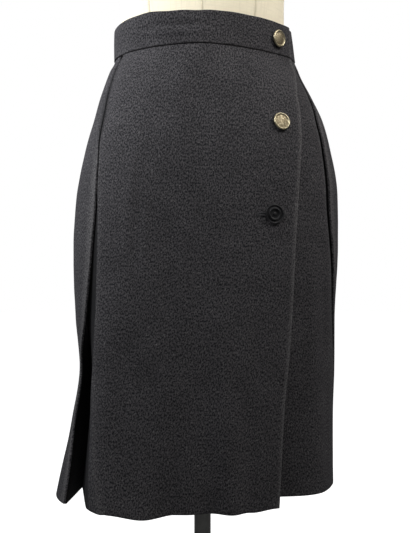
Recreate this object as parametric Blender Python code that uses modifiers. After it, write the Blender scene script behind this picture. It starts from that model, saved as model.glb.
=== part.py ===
"""A wrap skirt on a dress form, in metres.

The front looks along -Y, +X is the wearer's left and +Z is up. The floor is at 0, under the middle
of the stand's base. Round the skirt, a plan angle runs from 0 at centre front to +90 at the wearer's
left and to -90 at the wearer's right.
"""

import math
from collections import namedtuple

import bmesh
import bpy
from mathutils import Matrix, Vector

COLLECTION = "wrap_skirt"

# The skirt
WAIST_HEIGHT = 1.030  # floor to the waistband's top edge
BAND_DEPTH = 0.0420
CLOTH = 0.0020
BAND_CLOTH = 0.0030
SEAM_GAP = 0.0003
BAND_SEAM_GAP = 0.0010  # the panels slope away from the waistband, so their top edges tilt
FRONT_HEM = 0.6240  # drops from the waistband's top edge
UNDERLAP_HEM = 0.6160
BACK_HEM = 0.6240
LAYER = 0.0017  # how far the two front layers stand out and in of the outline
BAND_PITCH = 0.0036  # from layer to layer where the waistband's ends lie on each other
BAND_STEP = 5.0  # degrees
BAND_UNDERLAP_END = -38.0
PANEL_ROWS = 18
ROW_EASE = 1.25  # over 1, the rows crowd towards the waist
WALL_PITCH = 0.0026  # from the middle of one wall to the next, where a pleat is closed
FOLD_RADIUS = 0.0015  # of a pressed fold, to the middle of the wall
FOLD_STEPS = 4
INNER_STEPS = 3
FRONT_POINTS = 20
UNDERLAP_POINTS = 16
BACK_POINTS = 27

# The buttons
BUTTON_RADIUS = 0.0115
BUTTON_STAND_OFF = 0.0006
SHANK_RADIUS = 0.0012
BUTTONHOLE_HEIGHT = 0.0032
BUTTON_SIDES = 20

# The dress form and its stand
FORM_CLEARANCE = 0.0125  # from the skirt's outline, below the waist
FORM_BOTTOM = 0.2650  # drop from the waistband's top edge
FORM_SIDES = 28
FORM_LOWER_RINGS = 8
FORM_UPPER_RINGS = 22
LAST_LOWER_RING = 0.0200
POLE_RADIUS = 0.0115
POLE_FIT = 0.0003
BASE_RADIUS = 0.2000
BASE_THICKNESS = 0.0100
SOCKET_RADIUS = 0.0190
SOCKET_DEPTH = 0.0300
FLANGE_RADIUS = 0.0550
FLANGE_DEPTH = 0.0420  # from the torso's underside to the socket's lower end
NECK_RADIUS = 0.0560
STAND_SIDES = 40

# The skirt's outline in plan: its reach to the wearer's right and left, to the front and to the back at
# each drop, and how square it is there (2 is an ellipse)
Section = namedtuple("Section", "drop right left front back square_right square_left square_back")
SECTIONS = [
    Section(0.000, 0.1198, 0.1230, 0.0925, 0.0930, 2.10, 1.50, 2.00),
    Section(0.042, 0.1203, 0.1285, 0.0945, 0.0970, 1.75, 1.38, 2.00),
    Section(0.059, 0.1290, 0.1335, 0.0975, 0.1010, 1.80, 1.50, 2.00),
    Section(0.094, 0.1410, 0.1505, 0.1040, 0.1080, 1.95, 1.80, 2.00),
    Section(0.129, 0.1500, 0.1660, 0.1095, 0.1145, 2.05, 2.00, 2.05),
    Section(0.167, 0.1605, 0.1755, 0.1145, 0.1195, 2.15, 2.15, 2.10),
    Section(0.231, 0.1725, 0.1850, 0.1185, 0.1235, 2.20, 2.20, 2.10),
    Section(0.300, 0.1765, 0.1855, 0.1210, 0.1240, 2.30, 2.25, 2.10),
    Section(0.394, 0.1730, 0.1805, 0.1260, 0.1235, 2.45, 2.30, 2.10),
    Section(0.461, 0.1668, 0.1800, 0.1290, 0.1235, 2.50, 2.30, 2.10),
    Section(0.524, 0.1705, 0.1785, 0.1320, 0.1240, 2.60, 2.30, 2.10),
    Section(0.624, 0.1815, 0.1800, 0.1360, 0.1260, 2.80, 2.30, 2.10),
]

# A pleat by drop: the plan angles of its two folds and of its inner line, how far each fold stands out
# of the outline, how far inside it the inner line lies, and how softly the front panel rolls over
Pleat = namedtuple("Pleat", "drop front_fold back_fold front_out back_out valley valley_in roll")
RIGHT_PLEAT = [
    Pleat(0.042, 78.0, 78.0, 0.0006, -0.0004, 81.0, 0.0045, 0.0025),
    Pleat(0.060, 73.3, 73.3, 0.0008, -0.0006, 76.3, 0.0050, 0.0025),
    Pleat(0.106, 68.2, 68.2, 0.0008, -0.0006, 71.2, 0.0055, 0.0025),
    Pleat(0.152, 63.3, 63.3, 0.0008, -0.0006, 66.3, 0.0060, 0.0025),
    Pleat(0.200, 59.3, 59.3, 0.0008, -0.0004, 62.5, 0.0060, 0.0025),
    Pleat(0.233, 58.0, 58.9, 0.0007, 0.0000, 61.8, 0.0070, 0.0028),
    Pleat(0.267, 56.5, 59.4, 0.0010, 0.0000, 63.2, 0.0080, 0.0033),
    Pleat(0.300, 55.5, 59.6, 0.0020, 0.0000, 66.0, 0.0100, 0.0040),
    Pleat(0.394, 53.5, 63.1, 0.0060, 0.0000, 72.0, 0.0130, 0.0080),
    Pleat(0.461, 54.2, 71.5, 0.0090, 0.0000, 75.5, 0.0150, 0.0150),
    Pleat(0.530, 51.1, 69.3, 0.0130, 0.0060, 77.5, 0.0165, 0.0300),
    Pleat(0.624, 46.6, 62.0, 0.0220, 0.0170, 79.5, 0.0180, 0.0600),
]
LEFT_PLEAT = [
    Pleat(0.042, 88.0, 88.0, 0.000, 0.000, 91.0, 0.0045, 0.0025),
    Pleat(0.060, 86.0, 86.0, 0.000, 0.000, 89.0, 0.0048, 0.0025),
    Pleat(0.104, 77.3, 77.3, 0.000, 0.000, 80.3, 0.0055, 0.0025),
    Pleat(0.141, 71.3, 71.3, 0.000, 0.000, 74.3, 0.0060, 0.0025),
    Pleat(0.244, 68.5, 68.5, 0.000, 0.000, 72.0, 0.0065, 0.0025),
    Pleat(0.290, 70.0, 70.0, 0.000, 0.000, 74.5, 0.0080, 0.0025),
    Pleat(0.361, 73.5, 73.5, 0.000, 0.000, 81.0, 0.0120, 0.0025),
    Pleat(0.394, 75.5, 75.5, 0.000, 0.000, 85.0, 0.0140, 0.0025),
    Pleat(0.461, 79.0, 79.0, 0.000, 0.000, 91.0, 0.0170, 0.0030),
    Pleat(0.624, 85.0, 85.0, 0.000, 0.000, 102.0, 0.0220, 0.0030),
]
FRONT_KICK_REACH = 30.0  # degrees over which a fold's standing out dies away
BACK_KICK_REACH = 70.0

# The wrap's free edge by drop: its plan angle, and how far the flap and the layer under it fall in
Wrap = namedtuple("Wrap", "drop edge flap_in under_in under_edge")
WRAP = [
    Wrap(0.042, 81.0, 0.000, 0.000, -38.0),
    Wrap(0.060, 79.0, 0.000, 0.000, -34.0),
    Wrap(0.080, 71.2, 0.000, 0.000, -31.0),
    Wrap(0.104, 63.7, 0.000, 0.000, -28.0),
    Wrap(0.184, 54.6, 0.000, 0.000, -22.0),
    Wrap(0.258, 50.7, 0.000, 0.000, -20.0),
    Wrap(0.334, 48.3, 0.001, 0.004, -18.0),
    Wrap(0.424, 46.2, 0.004, 0.010, -17.0),
    Wrap(0.504, 43.3, 0.007, 0.018, -16.0),
    Wrap(0.624, 40.4, 0.010, 0.027, -16.0),
]
FLAP_REACH = 45.0
UNDERLAP_REACH = 24.0

# Soft folds in the cloth: plan angle, half width, how far it stands out at the hem, how much lower the
# hem hangs there, and the drop where it starts
Wave = namedtuple("Wave", "angle width out sag start")
FRONT_WAVES = [
    Wave(-47.0, 13.0, 0.000, -0.003, 0.45),
    Wave(-26.0, 12.0, 0.006, 0.004, 0.33),
    Wave(3.0, 11.0, -0.005, 0.000, 0.38),
    Wave(16.0, 9.0, 0.004, 0.001, 0.40),
    Wave(28.0, 9.0, -0.001, 0.002, 0.42),
]
BACK_WAVES = [
    Wave(128.0, 15.0, 0.006, 0.002, 0.34),
    Wave(150.0, 10.0, -0.004, 0.000, 0.40),
    Wave(176.0, 14.0, 0.005, 0.001, 0.36),
    Wave(200.0, 11.0, -0.004, 0.000, 0.42),
    Wave(226.0, 15.0, 0.006, 0.002, 0.35),
]

# Buttons: drop, plan angle, how far the buttonhole reaches to either side, and whether the metal cap is
# still on
Button = namedtuple("Button", "name drop angle hole_right hole_left capped")
BUTTONS = [
    Button("button_band", 0.0220, 67.5, 0.0150, 0.0045, True),
    Button("button_upper", 0.1422, 46.5, 0.0145, 0.0045, True),
    Button("button_lower", 0.2596, 39.0, 0.0185, 0.0135, False),
]

# The torso above the waist: rise over the waistband's top edge, and its reach there
Torso = namedtuple("Torso", "rise side front back square")
TORSO = [
    Torso(0.000, 0.1130, 0.0845, 0.0840, 1.50),
    Torso(0.034, 0.1130, 0.0850, 0.0840, 1.65),
    Torso(0.080, 0.1185, 0.0920, 0.0880, 1.90),
    Torso(0.130, 0.1275, 0.1040, 0.0950, 2.08),
    Torso(0.180, 0.1370, 0.1160, 0.1010, 2.15),
    Torso(0.225, 0.1430, 0.1180, 0.1050, 2.20),
    Torso(0.275, 0.1470, 0.1080, 0.1060, 2.20),
    Torso(0.315, 0.1510, 0.0930, 0.1010, 2.20),
    Torso(0.345, 0.1500, 0.0800, 0.0910, 2.15),
    Torso(0.368, 0.1270, 0.0700, 0.0800, 2.10),
    Torso(0.386, 0.0960, 0.0620, 0.0690, 2.05),
    Torso(0.402, 0.0720, 0.0570, 0.0610, 2.00),
    Torso(0.425, 0.0590, 0.0550, 0.0570, 2.00),
    Torso(0.455, 0.0560, 0.0560, 0.0560, 2.00),
]


# --- Tables and the outline -----------------------------------------------------------------------


def column(rows, place, name):
    """A table's value at any place, on a curve through its rows that never overshoots them."""
    places = [row[0] for row in rows]
    values = [getattr(row, name) for row in rows]
    if place <= places[0]:
        return values[0]
    if place >= places[-1]:
        return values[-1]
    steps = [b - a for a, b in zip(places, places[1:])]
    slopes = [(b - a) / step for a, b, step in zip(values, values[1:], steps)]
    tangents = [slopes[0]]
    for before, after in zip(slopes, slopes[1:]):
        same_way = before * after > 0
        tangents.append(2 * before * after / (before + after) if same_way else 0.0)
    tangents.append(slopes[-1])
    i = max(k for k in range(len(steps)) if place >= places[k])
    t = (place - places[i]) / steps[i]
    start = (1 + 2 * t) * (1 - t) ** 2 * values[i] + t * (1 - t) ** 2 * steps[i] * tangents[i]
    end = t * t * (3 - 2 * t) * values[i + 1] - t * t * (1 - t) * steps[i] * tangents[i + 1]
    return start + end


def spread(first, last, count):
    return [first + (last - first) * i / (count - 1) for i in range(count)]


def fade(distance, reach):
    """1 at no distance, falling smoothly to 0 at the reach."""
    t = min(1.0, abs(distance) / reach)
    return 1 - t * t * (3 - 2 * t)


def squared_radius(angle, across, along, square):
    """A squared ellipse's radius at a plan angle, reaching `across` in X and `along` in Y."""
    sine = abs(math.sin(math.radians(angle)))
    cosine = abs(math.cos(math.radians(angle)))
    return ((sine / across) ** square + (cosine / along) ** square) ** (-1 / square)


def outline_radius(drop, angle):
    """The skirt's plain outline, with no fold in it."""
    turned = (angle + 180) % 360 - 180
    side = "left" if turned >= 0 else "right"
    across = column(SECTIONS, drop, side)
    if abs(turned) > 90:
        return squared_radius(
            turned, across, column(SECTIONS, drop, "back"), column(SECTIONS, drop, "square_back")
        )
    return squared_radius(
        turned, across, column(SECTIONS, drop, "front"), column(SECTIONS, drop, "square_" + side)
    )


def wave_out(waves, drop, angle):
    """How far the soft folds move the cloth out at a place."""
    total = 0.0
    for wave in waves:
        grown = max(0.0, (drop - wave.start) / (FRONT_HEM - wave.start))
        total += wave.out * grown**1.5 * fade(angle - wave.angle, wave.width)
    return total


def wave_sag(waves, angle):
    """How much lower the hem hangs at a place, because of the soft folds."""
    return sum(wave.sag * fade(angle - wave.angle, wave.width) for wave in waves)


# --- The panels' surfaces: each gives a radius at a drop and a plan angle ---------------------------


def overlap_radius(drop, angle):
    """The front that shows: it stands out towards its pleat and falls in towards its free edge."""
    fold = -column(RIGHT_PLEAT, drop, "front_fold")
    kick = column(RIGHT_PLEAT, drop, "front_out") * fade(angle - fold, FRONT_KICK_REACH)
    edge = column(WRAP, drop, "edge")
    fallen = column(WRAP, drop, "flap_in") * fade(angle - edge, FLAP_REACH)
    return outline_radius(drop, angle) + kick - fallen + wave_out(FRONT_WAVES, drop, angle)


def underlap_radius(drop, angle):
    """The front beneath it, which falls in under the wrap's edge."""
    past_edge = max(0.0, angle - column(WRAP, drop, "edge"))
    fallen = column(WRAP, drop, "under_in") * fade(past_edge, UNDERLAP_REACH)
    return outline_radius(drop, angle) - fallen


def back_radius(drop, angle):
    """The back, from the wearer's left pleat round to the right one."""
    fold = 360 - column(RIGHT_PLEAT, drop, "back_fold")
    kick = column(RIGHT_PLEAT, drop, "back_out") * fade(angle - fold, BACK_KICK_REACH)
    return outline_radius(drop, angle) + kick + wave_out(BACK_WAVES, drop, angle)


def plan_point(surface, drop, angle, out=0.0):
    """A point of a surface in plan, moved out along the surface's own normal."""

    def place(at):
        turn = math.radians(at)
        return surface(drop, at) * Vector((math.sin(turn), -math.cos(turn)))

    along = place(angle + 0.2) - place(angle - 0.2)
    return place(angle) + Vector((along.y, -along.x)).normalized() * out


# --- Paths across the panels, one for each row ------------------------------------------------------

Fold = namedtuple("Fold", "angle corner inner radius")


def pleat_folds(pleat, side, drop):
    """A pleat's front and back folds at a drop: side is 1 at the wearer's left and -1 at the right."""
    front_angle = column(pleat, drop, "front_fold")
    valley_angle = column(pleat, drop, "valley")
    valley_in = column(pleat, drop, "valley_in")
    run = math.radians(valley_angle - front_angle) * outline_radius(drop, side * front_angle)
    closed = WALL_PITCH / math.sin(math.atan2(valley_in, run))
    closed_angle = front_angle + math.degrees(closed / outline_radius(drop, side * front_angle))
    back_angle = max(column(pleat, drop, "back_fold"), closed_angle)
    if side < 0:
        front_angle, back_angle = -front_angle, 360 - back_angle
        front = plan_point(overlap_radius, drop, front_angle, LAYER)
    else:
        front = plan_point(underlap_radius, drop, front_angle, -LAYER)
    back = plan_point(back_radius, drop, back_angle)
    valley = plan_point(outline_radius, drop, side * valley_angle, -valley_in)
    inward = ((valley - front).normalized() + (valley - back).normalized()).normalized()
    across = Vector((-inward.y, inward.x)) * WALL_PITCH / 2
    if across.dot(front - back) < 0:
        across = -across
    roll = column(pleat, drop, "roll")
    return (
        Fold(front_angle, front, valley + across, roll),
        Fold(back_angle, back, valley - across, FOLD_RADIUS),
    )


def rounded(before, corner, after, radius):
    """Points on an arc that rounds a corner, and how far from the corner it starts."""
    arm, other = (before - corner).normalized(), (after - corner).normalized()
    half = arm.angle(other) / 2
    reach = radius / math.tan(half)
    middle = corner + (arm + other).normalized() * radius / math.sin(half)
    start, end = corner + arm * reach - middle, corner + other * reach - middle
    swept = start.angle_signed(end)
    points = []
    for t in spread(0.0, 1.0, FOLD_STEPS + 1):
        turn = Matrix.Rotation(-swept * t, 2)
        points.append(middle + turn @ start)
    return points, reach


def panel_path(surface, out, drop, first, last, count):
    """Plan points across a panel. Each end is a plan angle at a free edge, or a Fold."""
    ends, walls = [], []
    for end, other in ((first, last), (last, first)):
        if not isinstance(end, Fold):
            ends.append(end)
            walls.append([])
            continue
        other_angle = other.angle if isinstance(other, Fold) else other
        heading = 1.0 if other_angle > end.angle else -1.0
        face = plan_point(surface, drop, end.angle + heading, out)
        arc, reach = rounded(face, end.corner, end.inner, end.radius)
        ends.append(end.angle + heading * math.degrees(reach / end.corner.length))
        behind = [arc[-1].lerp(end.inner, t) for t in spread(0.0, 1.0, INNER_STEPS + 1)]
        walls.append(arc + behind[1:])
    across = [plan_point(surface, drop, angle, out) for angle in spread(*ends, count)]
    if walls[0]:
        across = walls[0][::-1] + across[1:]
    if walls[1]:
        across = across[:-1] + walls[1]
    return across


def panel_rows(hem, waves, path_at):
    """A panel's points, row by row from the waistband to the hem."""
    top = BAND_DEPTH + BAND_SEAM_GAP
    rows = []
    for t in spread(0.0, 1.0, PANEL_ROWS):
        down = t**ROW_EASE
        drop = top + (hem - top) * down
        row = []
        for point in path_at(drop):
            angle = math.degrees(math.atan2(point.x, -point.y)) % 360
            sag = max(wave_sag(waves, angle), wave_sag(waves, angle - 360)) * down**2
            row.append(Vector((point.x, point.y, WAIST_HEIGHT - drop - sag)))
        rows.append(row)
    return rows


def overlap_rows():
    def path(drop):
        fold = pleat_folds(RIGHT_PLEAT, -1, drop)[0]
        edge = column(WRAP, drop, "edge")
        return panel_path(overlap_radius, LAYER, drop, edge, fold, FRONT_POINTS)

    return panel_rows(FRONT_HEM, FRONT_WAVES, path)


def underlap_rows():
    def path(drop):
        fold = pleat_folds(LEFT_PLEAT, 1, drop)[0]
        hidden_edge = column(WRAP, drop, "under_edge")
        return panel_path(underlap_radius, -LAYER, drop, fold, hidden_edge, UNDERLAP_POINTS)

    return panel_rows(UNDERLAP_HEM, (), path)


def back_rows():
    def path(drop):
        left = pleat_folds(LEFT_PLEAT, 1, drop)[1]
        right = pleat_folds(RIGHT_PLEAT, -1, drop)[1]
        return panel_path(back_radius, 0.0, drop, right, left, BACK_POINTS)

    return panel_rows(BACK_HEM, BACK_WAVES, path)


def band_out(angle):
    """The waistband's strip spirals in from its outer end, so that its ends lie on each other."""
    first, last = column(WRAP, BAND_DEPTH, "edge"), BAND_UNDERLAP_END - 360
    spiral = BAND_PITCH * (first - last) / 360
    return spiral * (0.5 - (first - angle) / (first - last))


def band_rows(angles, top=0.0, bottom=BAND_DEPTH, count=3):
    rows = []
    for drop in spread(top, bottom, count):
        points = [plan_point(outline_radius, drop, angle, band_out(angle)) for angle in angles]
        rows.append([Vector((p.x, p.y, WAIST_HEIGHT - drop)) for p in points])
    return rows


# --- Blender objects --------------------------------------------------------------------------------


def material(name, colour, roughness, metallic=0.0):
    made = bpy.data.materials.new(name)
    made.use_nodes = True
    shader = made.node_tree.nodes["Principled BSDF"]
    shader.inputs["Base Color"].default_value = (*colour, 1.0)
    shader.inputs["Roughness"].default_value = roughness
    shader.inputs["Metallic"].default_value = metallic
    made.diffuse_color = (*colour, 1.0)
    return made


def mesh_object(name, build, collection, finish=None):
    """A new object whose mesh is made by `build`, which fills a bmesh."""
    mesh = bpy.data.meshes.new(name)
    bm = bmesh.new()
    build(bm)
    bm.to_mesh(mesh)
    bm.free()
    made = bpy.data.objects.new(name, mesh)
    collection.objects.link(made)
    if finish:
        mesh.materials.append(finish)
        mesh.shade_smooth()
    return made


def fill_grid(bm, rows, closed=False):
    """Quads between rows of points, joined round where the rows are closed."""
    grid = [[bm.verts.new(point) for point in row] for row in rows]
    for upper, lower in zip(grid, grid[1:]):
        last = len(upper) if closed else len(upper) - 1
        for i in range(last):
            j = (i + 1) % len(upper)
            bm.faces.new((upper[i], lower[i], lower[j], upper[j]))
    return grid


def cloth(name, rows, thickness, collection, finish=None):
    """A wall of even thickness with the points in its middle."""
    made = mesh_object(name, lambda bm: fill_grid(bm, rows), collection, finish)
    wall = made.modifiers.new("Wall", "SOLIDIFY")
    wall.thickness = thickness
    wall.offset = 0.0
    wall.use_even_offset = True
    return made


def turned(name, profile, sides, collection, finish):
    """A profile of (radius, height) points, from the top's middle down its outer side, turned round Z."""

    def draw(bm):
        points = [bm.verts.new((radius, 0.0, height)) for radius, height in profile]
        for pair in zip(points, points[1:]):
            bm.edges.new(pair)

    made = mesh_object(name, draw, collection, finish)
    turn = made.modifiers.new("Turn", "SCREW")
    turn.axis = "Z"
    turn.steps = turn.render_steps = sides
    turn.use_merge_vertices = True
    turn.merge_threshold = 1e-5
    return made


def buttonhole(button, rows_at, thickness, target, cutters):
    """A slit through the layer that a button closes."""
    radius = outline_radius(button.drop, button.angle)
    first = button.angle - math.degrees(button.hole_right / radius)
    last = button.angle + math.degrees(button.hole_left / radius)
    half = BUTTONHOLE_HEIGHT / 2
    rows = rows_at(spread(first, last, 4), button.drop - half, button.drop + half)
    slit = cloth(target.name + "_" + button.name + "_slit", rows, thickness, cutters)
    slit.hide_render = True
    slit.display_type = "WIRE"
    cut = target.modifiers.new("Buttonhole", "BOOLEAN")
    cut.object = slit
    cut.operation = "DIFFERENCE"


def overlap_slit_rows(angles, top, bottom):
    rows = []
    for drop in (top, bottom):
        points = [plan_point(overlap_radius, drop, angle, LAYER) for angle in angles]
        rows.append([Vector((p.x, p.y, WAIST_HEIGHT - drop)) for p in points])
    return rows


def band_slit_rows(angles, top, bottom):
    return band_rows(angles, top, bottom, 2)


# --- The pieces -------------------------------------------------------------------------------------


def make_skirt(collection, cutters, wool):
    overlap = cloth("front_overlap", overlap_rows(), CLOTH, collection, wool)
    cloth("front_underlap", underlap_rows(), CLOTH, collection, wool)
    cloth("back_panel", back_rows(), CLOTH, collection, wool)
    edge = column(WRAP, BAND_DEPTH, "edge")
    steps = round((edge - BAND_UNDERLAP_END + 360) / BAND_STEP)
    angles = spread(edge, BAND_UNDERLAP_END - 360, steps + 1)
    band = cloth("waistband", band_rows(angles), BAND_CLOTH, collection, wool)
    for button in BUTTONS:
        if button.drop < BAND_DEPTH:
            room = BAND_PITCH - BAND_CLOTH
            buttonhole(button, band_slit_rows, BAND_CLOTH + room, band, cutters)
        else:
            buttonhole(button, overlap_slit_rows, 3 * CLOTH, overlap, cutters)


def capped_profile(shank_end):
    """A low dome inside a raised rim, over the back shell and the shank."""
    return [
        (0.0, 0.0040),
        (0.0040, 0.0038),
        (0.0074, 0.0031),
        (0.0084, 0.0031),
        (0.0094, 0.0041),
        (0.0104, 0.0041),
        (BUTTON_RADIUS, 0.0032),
        (BUTTON_RADIUS, 0.0022),
        (0.0102, 0.0006),
        (0.0050, 0.0),
        (SHANK_RADIUS, 0.0),
        (SHANK_RADIUS, shank_end),
        (0.0, shank_end),
    ]


def bare_profile(shank_end):
    """The same button's base without its cap: a shallow cup with a ring standing in it."""
    return [
        (0.0, 0.0016),
        (0.0058, 0.0016),
        (0.0064, 0.0034),
        (0.0078, 0.0034),
        (0.0084, 0.0018),
        (0.0100, 0.0018),
        (0.0108, 0.0030),
        (BUTTON_RADIUS, 0.0030),
        (BUTTON_RADIUS + 0.0004, 0.0020),
        (0.0102, 0.0006),
        (0.0050, 0.0),
        (SHANK_RADIUS, 0.0),
        (SHANK_RADIUS, shank_end),
        (0.0, shank_end),
    ]


def make_buttons(collection, metal, black):
    for button in BUTTONS:
        on_band = button.drop < BAND_DEPTH
        surface = outline_radius if on_band else overlap_radius
        wall = BAND_CLOTH if on_band else CLOTH
        middle = band_out(button.angle) if on_band else LAYER
        pitch = BAND_PITCH if on_band else 2 * LAYER
        out = middle + wall / 2 + BUTTON_STAND_OFF
        at = plan_point(surface, button.drop, button.angle, out)
        facing = at - plan_point(surface, button.drop, button.angle, 0.0)
        higher = plan_point(surface, button.drop - BUTTON_RADIUS, button.angle, out)
        lower = plan_point(surface, button.drop + BUTTON_RADIUS, button.angle, out)
        lean = (higher - lower).dot(facing.normalized()) / (2 * BUTTON_RADIUS)
        normal = Vector((*facing.normalized(), -lean)).normalized()
        shank_end = SEAM_GAP - BUTTON_STAND_OFF - pitch
        profile = capped_profile(shank_end) if button.capped else bare_profile(shank_end)
        finish = metal if button.capped else black
        made = turned(button.name, profile, BUTTON_SIDES, collection, finish)
        made.location = (at.x, at.y, WAIST_HEIGHT - button.drop)
        made.rotation_euler = normal.to_track_quat("Z", "Y").to_euler()


def torso_rings():
    """Rings from the torso's bottom edge up to its neck. Below the waist they keep clear of the skirt."""
    rings = []
    for drop in spread(FORM_BOTTOM, LAST_LOWER_RING, FORM_LOWER_RINGS):
        waist = TORSO[0]
        narrow = min(column(SECTIONS, drop, "left"), column(SECTIONS, drop, "right"))
        side = max(waist.side, narrow - FORM_CLEARANCE)
        front = max(waist.front, column(SECTIONS, drop, "front") - FORM_CLEARANCE)
        back = max(waist.back, column(SECTIONS, drop, "back") - FORM_CLEARANCE)
        square = column(SECTIONS, drop, "square_left")
        rings.append((WAIST_HEIGHT - drop, side, front, back, square))
    for rise in spread(0.0, TORSO[-1].rise, FORM_UPPER_RINGS):
        sizes = [column(TORSO, rise, name) for name in ("side", "front", "back", "square")]
        rings.append((WAIST_HEIGHT + rise, *sizes))
    points = []
    for height, side, front, back, square in rings:
        ring = []
        for i in range(FORM_SIDES):
            angle = 360 * i / FORM_SIDES
            along = front if math.cos(math.radians(angle)) >= 0 else back
            radius = squared_radius(angle, side, along, square)
            turn = math.radians(angle)
            ring.append(Vector((radius * math.sin(turn), -radius * math.cos(turn), height)))
        points.append(ring)
    return points


def make_form(collection, linen, wood, iron):
    def loft(bm):
        grid = fill_grid(bm, torso_rings(), closed=True)
        bm.faces.new(grid[0])
        bm.faces.new(grid[-1])
        bmesh.ops.recalc_face_normals(bm, faces=bm.faces)

    mesh_object("form_torso", loft, collection, linen)

    neck_top = WAIST_HEIGHT + TORSO[-1].rise
    cap = turned("form_neck_cap", [
        (0.0, 0.0300),
        (0.0080, 0.0285),
        (0.0110, 0.0230),
        (0.0080, 0.0170),
        (0.0100, 0.0145),
        (0.0400, 0.0120),
        (NECK_RADIUS - 0.003, 0.0095),
        (NECK_RADIUS, 0.0060),
        (NECK_RADIUS, 0.0),
        (0.0, 0.0),
    ], STAND_SIDES, collection, wood)
    cap.location.z = neck_top + SEAM_GAP

    form_bottom = WAIST_HEIGHT - FORM_BOTTOM
    bore = POLE_RADIUS + POLE_FIT
    flange = turned("form_flange", [
        (0.0, -SEAM_GAP),
        (FLANGE_RADIUS, -SEAM_GAP),
        (FLANGE_RADIUS, -0.0060),
        (0.0220, -0.0080),
        (SOCKET_RADIUS, -0.0120),
        (SOCKET_RADIUS, -FLANGE_DEPTH),
        (bore, -FLANGE_DEPTH),
        (bore, SOCKET_DEPTH - FLANGE_DEPTH),
        (0.0, SOCKET_DEPTH - FLANGE_DEPTH),
    ], STAND_SIDES, collection, iron)
    flange.location.z = form_bottom

    turned("form_base", [
        (0.0, BASE_THICKNESS),
        (bore, BASE_THICKNESS),
        (bore, BASE_THICKNESS + SOCKET_DEPTH),
        (SOCKET_RADIUS, BASE_THICKNESS + SOCKET_DEPTH),
        (SOCKET_RADIUS + 0.002, BASE_THICKNESS + 0.0080),
        (0.0400, BASE_THICKNESS + 0.0020),
        (BASE_RADIUS - 0.0200, BASE_THICKNESS),
        (BASE_RADIUS - 0.0030, BASE_THICKNESS - 0.0010),
        (BASE_RADIUS, BASE_THICKNESS - 0.0040),
        (BASE_RADIUS, 0.0),
        (0.0, 0.0),
    ], STAND_SIDES, collection, iron)

    low = BASE_THICKNESS + SEAM_GAP
    high = form_bottom - FLANGE_DEPTH + SOCKET_DEPTH - SEAM_GAP
    turned("form_pole", [
        (0.0, high),
        (POLE_RADIUS, high),
        (POLE_RADIUS, low),
        (0.0, low),
    ], BUTTON_SIDES, collection, iron)


def main():
    for old in list(bpy.data.objects):
        bpy.data.objects.remove(old, do_unlink=True)
    collection = bpy.data.collections.new(COLLECTION)
    cutters = bpy.data.collections.new(COLLECTION + "_cutters")
    for made in (collection, cutters):
        bpy.context.scene.collection.children.link(made)
    wool = material("wool", (0.042, 0.041, 0.044), 0.95)
    brass = material("aged_brass", (0.30, 0.26, 0.17), 0.42, 0.9)
    black = material("black_base", (0.006, 0.006, 0.007), 0.45)
    linen = material("linen", (0.86, 0.80, 0.64), 0.9)
    wood = material("turned_wood", (0.24, 0.13, 0.06), 0.5)
    iron = material("dark_iron", (0.045, 0.045, 0.044), 0.4, 0.8)
    make_skirt(collection, cutters, wool)
    make_buttons(collection, brass, black)
    make_form(collection, linen, wood, iron)


if __name__ == "__main__":
    main()
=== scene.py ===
"""A wrap skirt on a dress form: the looks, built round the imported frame.

Metres, with the front along -Y, +X at the wearer's left and +Z up. A plan angle runs from 0 at
centre front to +90 at the wearer's left and -90 at the right. A drop is counted down from the
waistband's top edge.
"""

import math
from collections import namedtuple
from functools import lru_cache, partial

import bmesh
import bpy
from mathutils import Matrix, Vector, noise


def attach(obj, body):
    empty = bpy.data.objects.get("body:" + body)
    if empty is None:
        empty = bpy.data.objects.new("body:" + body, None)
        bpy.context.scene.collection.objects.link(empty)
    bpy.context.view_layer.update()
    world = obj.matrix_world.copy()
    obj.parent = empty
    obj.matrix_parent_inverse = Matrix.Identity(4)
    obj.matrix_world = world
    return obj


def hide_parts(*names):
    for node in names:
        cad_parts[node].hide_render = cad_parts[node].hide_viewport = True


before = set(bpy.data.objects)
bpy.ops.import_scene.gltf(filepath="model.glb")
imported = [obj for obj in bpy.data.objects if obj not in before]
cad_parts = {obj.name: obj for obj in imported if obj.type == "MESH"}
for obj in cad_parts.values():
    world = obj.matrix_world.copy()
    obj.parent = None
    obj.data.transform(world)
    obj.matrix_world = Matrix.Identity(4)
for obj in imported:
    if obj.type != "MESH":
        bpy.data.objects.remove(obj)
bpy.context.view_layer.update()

bl_info = {
    "name": "Wrap skirt on a dress form",
    "version": (1, 0, 0),
    "blender": (4, 5, 0),
    "location": "3D View > Sidebar > Wrap skirt",
    "description": "Builds a wool wrap skirt, its buttons and its dress form over the packed frame",
    "category": "Object",
}

# Sizes that the CAD holds too
WAIST_HEIGHT = 1.030
BAND_DEPTH = 0.0420
FRONT_HEM = 0.6240
UNDERLAP_HEM = 0.6160
BACK_HEM = 0.6240
LAYER = 0.0017
BAND_PITCH = 0.0036
PANEL_WALL = 0.0020
BAND_WALL = 0.0030
BAND_UNDERLAP_END = -38.0
WALL_PITCH = 0.0026
FOLD_RADIUS = 0.0015
FRONT_KICK_REACH = 30.0
BACK_KICK_REACH = 70.0
FLAP_REACH = 45.0
UNDERLAP_REACH = 24.0
BUTTON_RADIUS = 0.0115
BUTTON_STAND_OFF = 0.0006
FORM_CLEARANCE = 0.0125
FORM_BOTTOM = 0.2650
SEAM_GAP = 0.0003
POLE_RADIUS = 0.0115
POLE_FIT = 0.0003
BASE_RADIUS = 0.2000
BASE_THICKNESS = 0.0100
SOCKET_RADIUS = 0.0190
SOCKET_DEPTH = 0.0300
FLANGE_RADIUS = 0.0550
FLANGE_DEPTH = 0.0420
NECK_RADIUS = 0.0560

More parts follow.
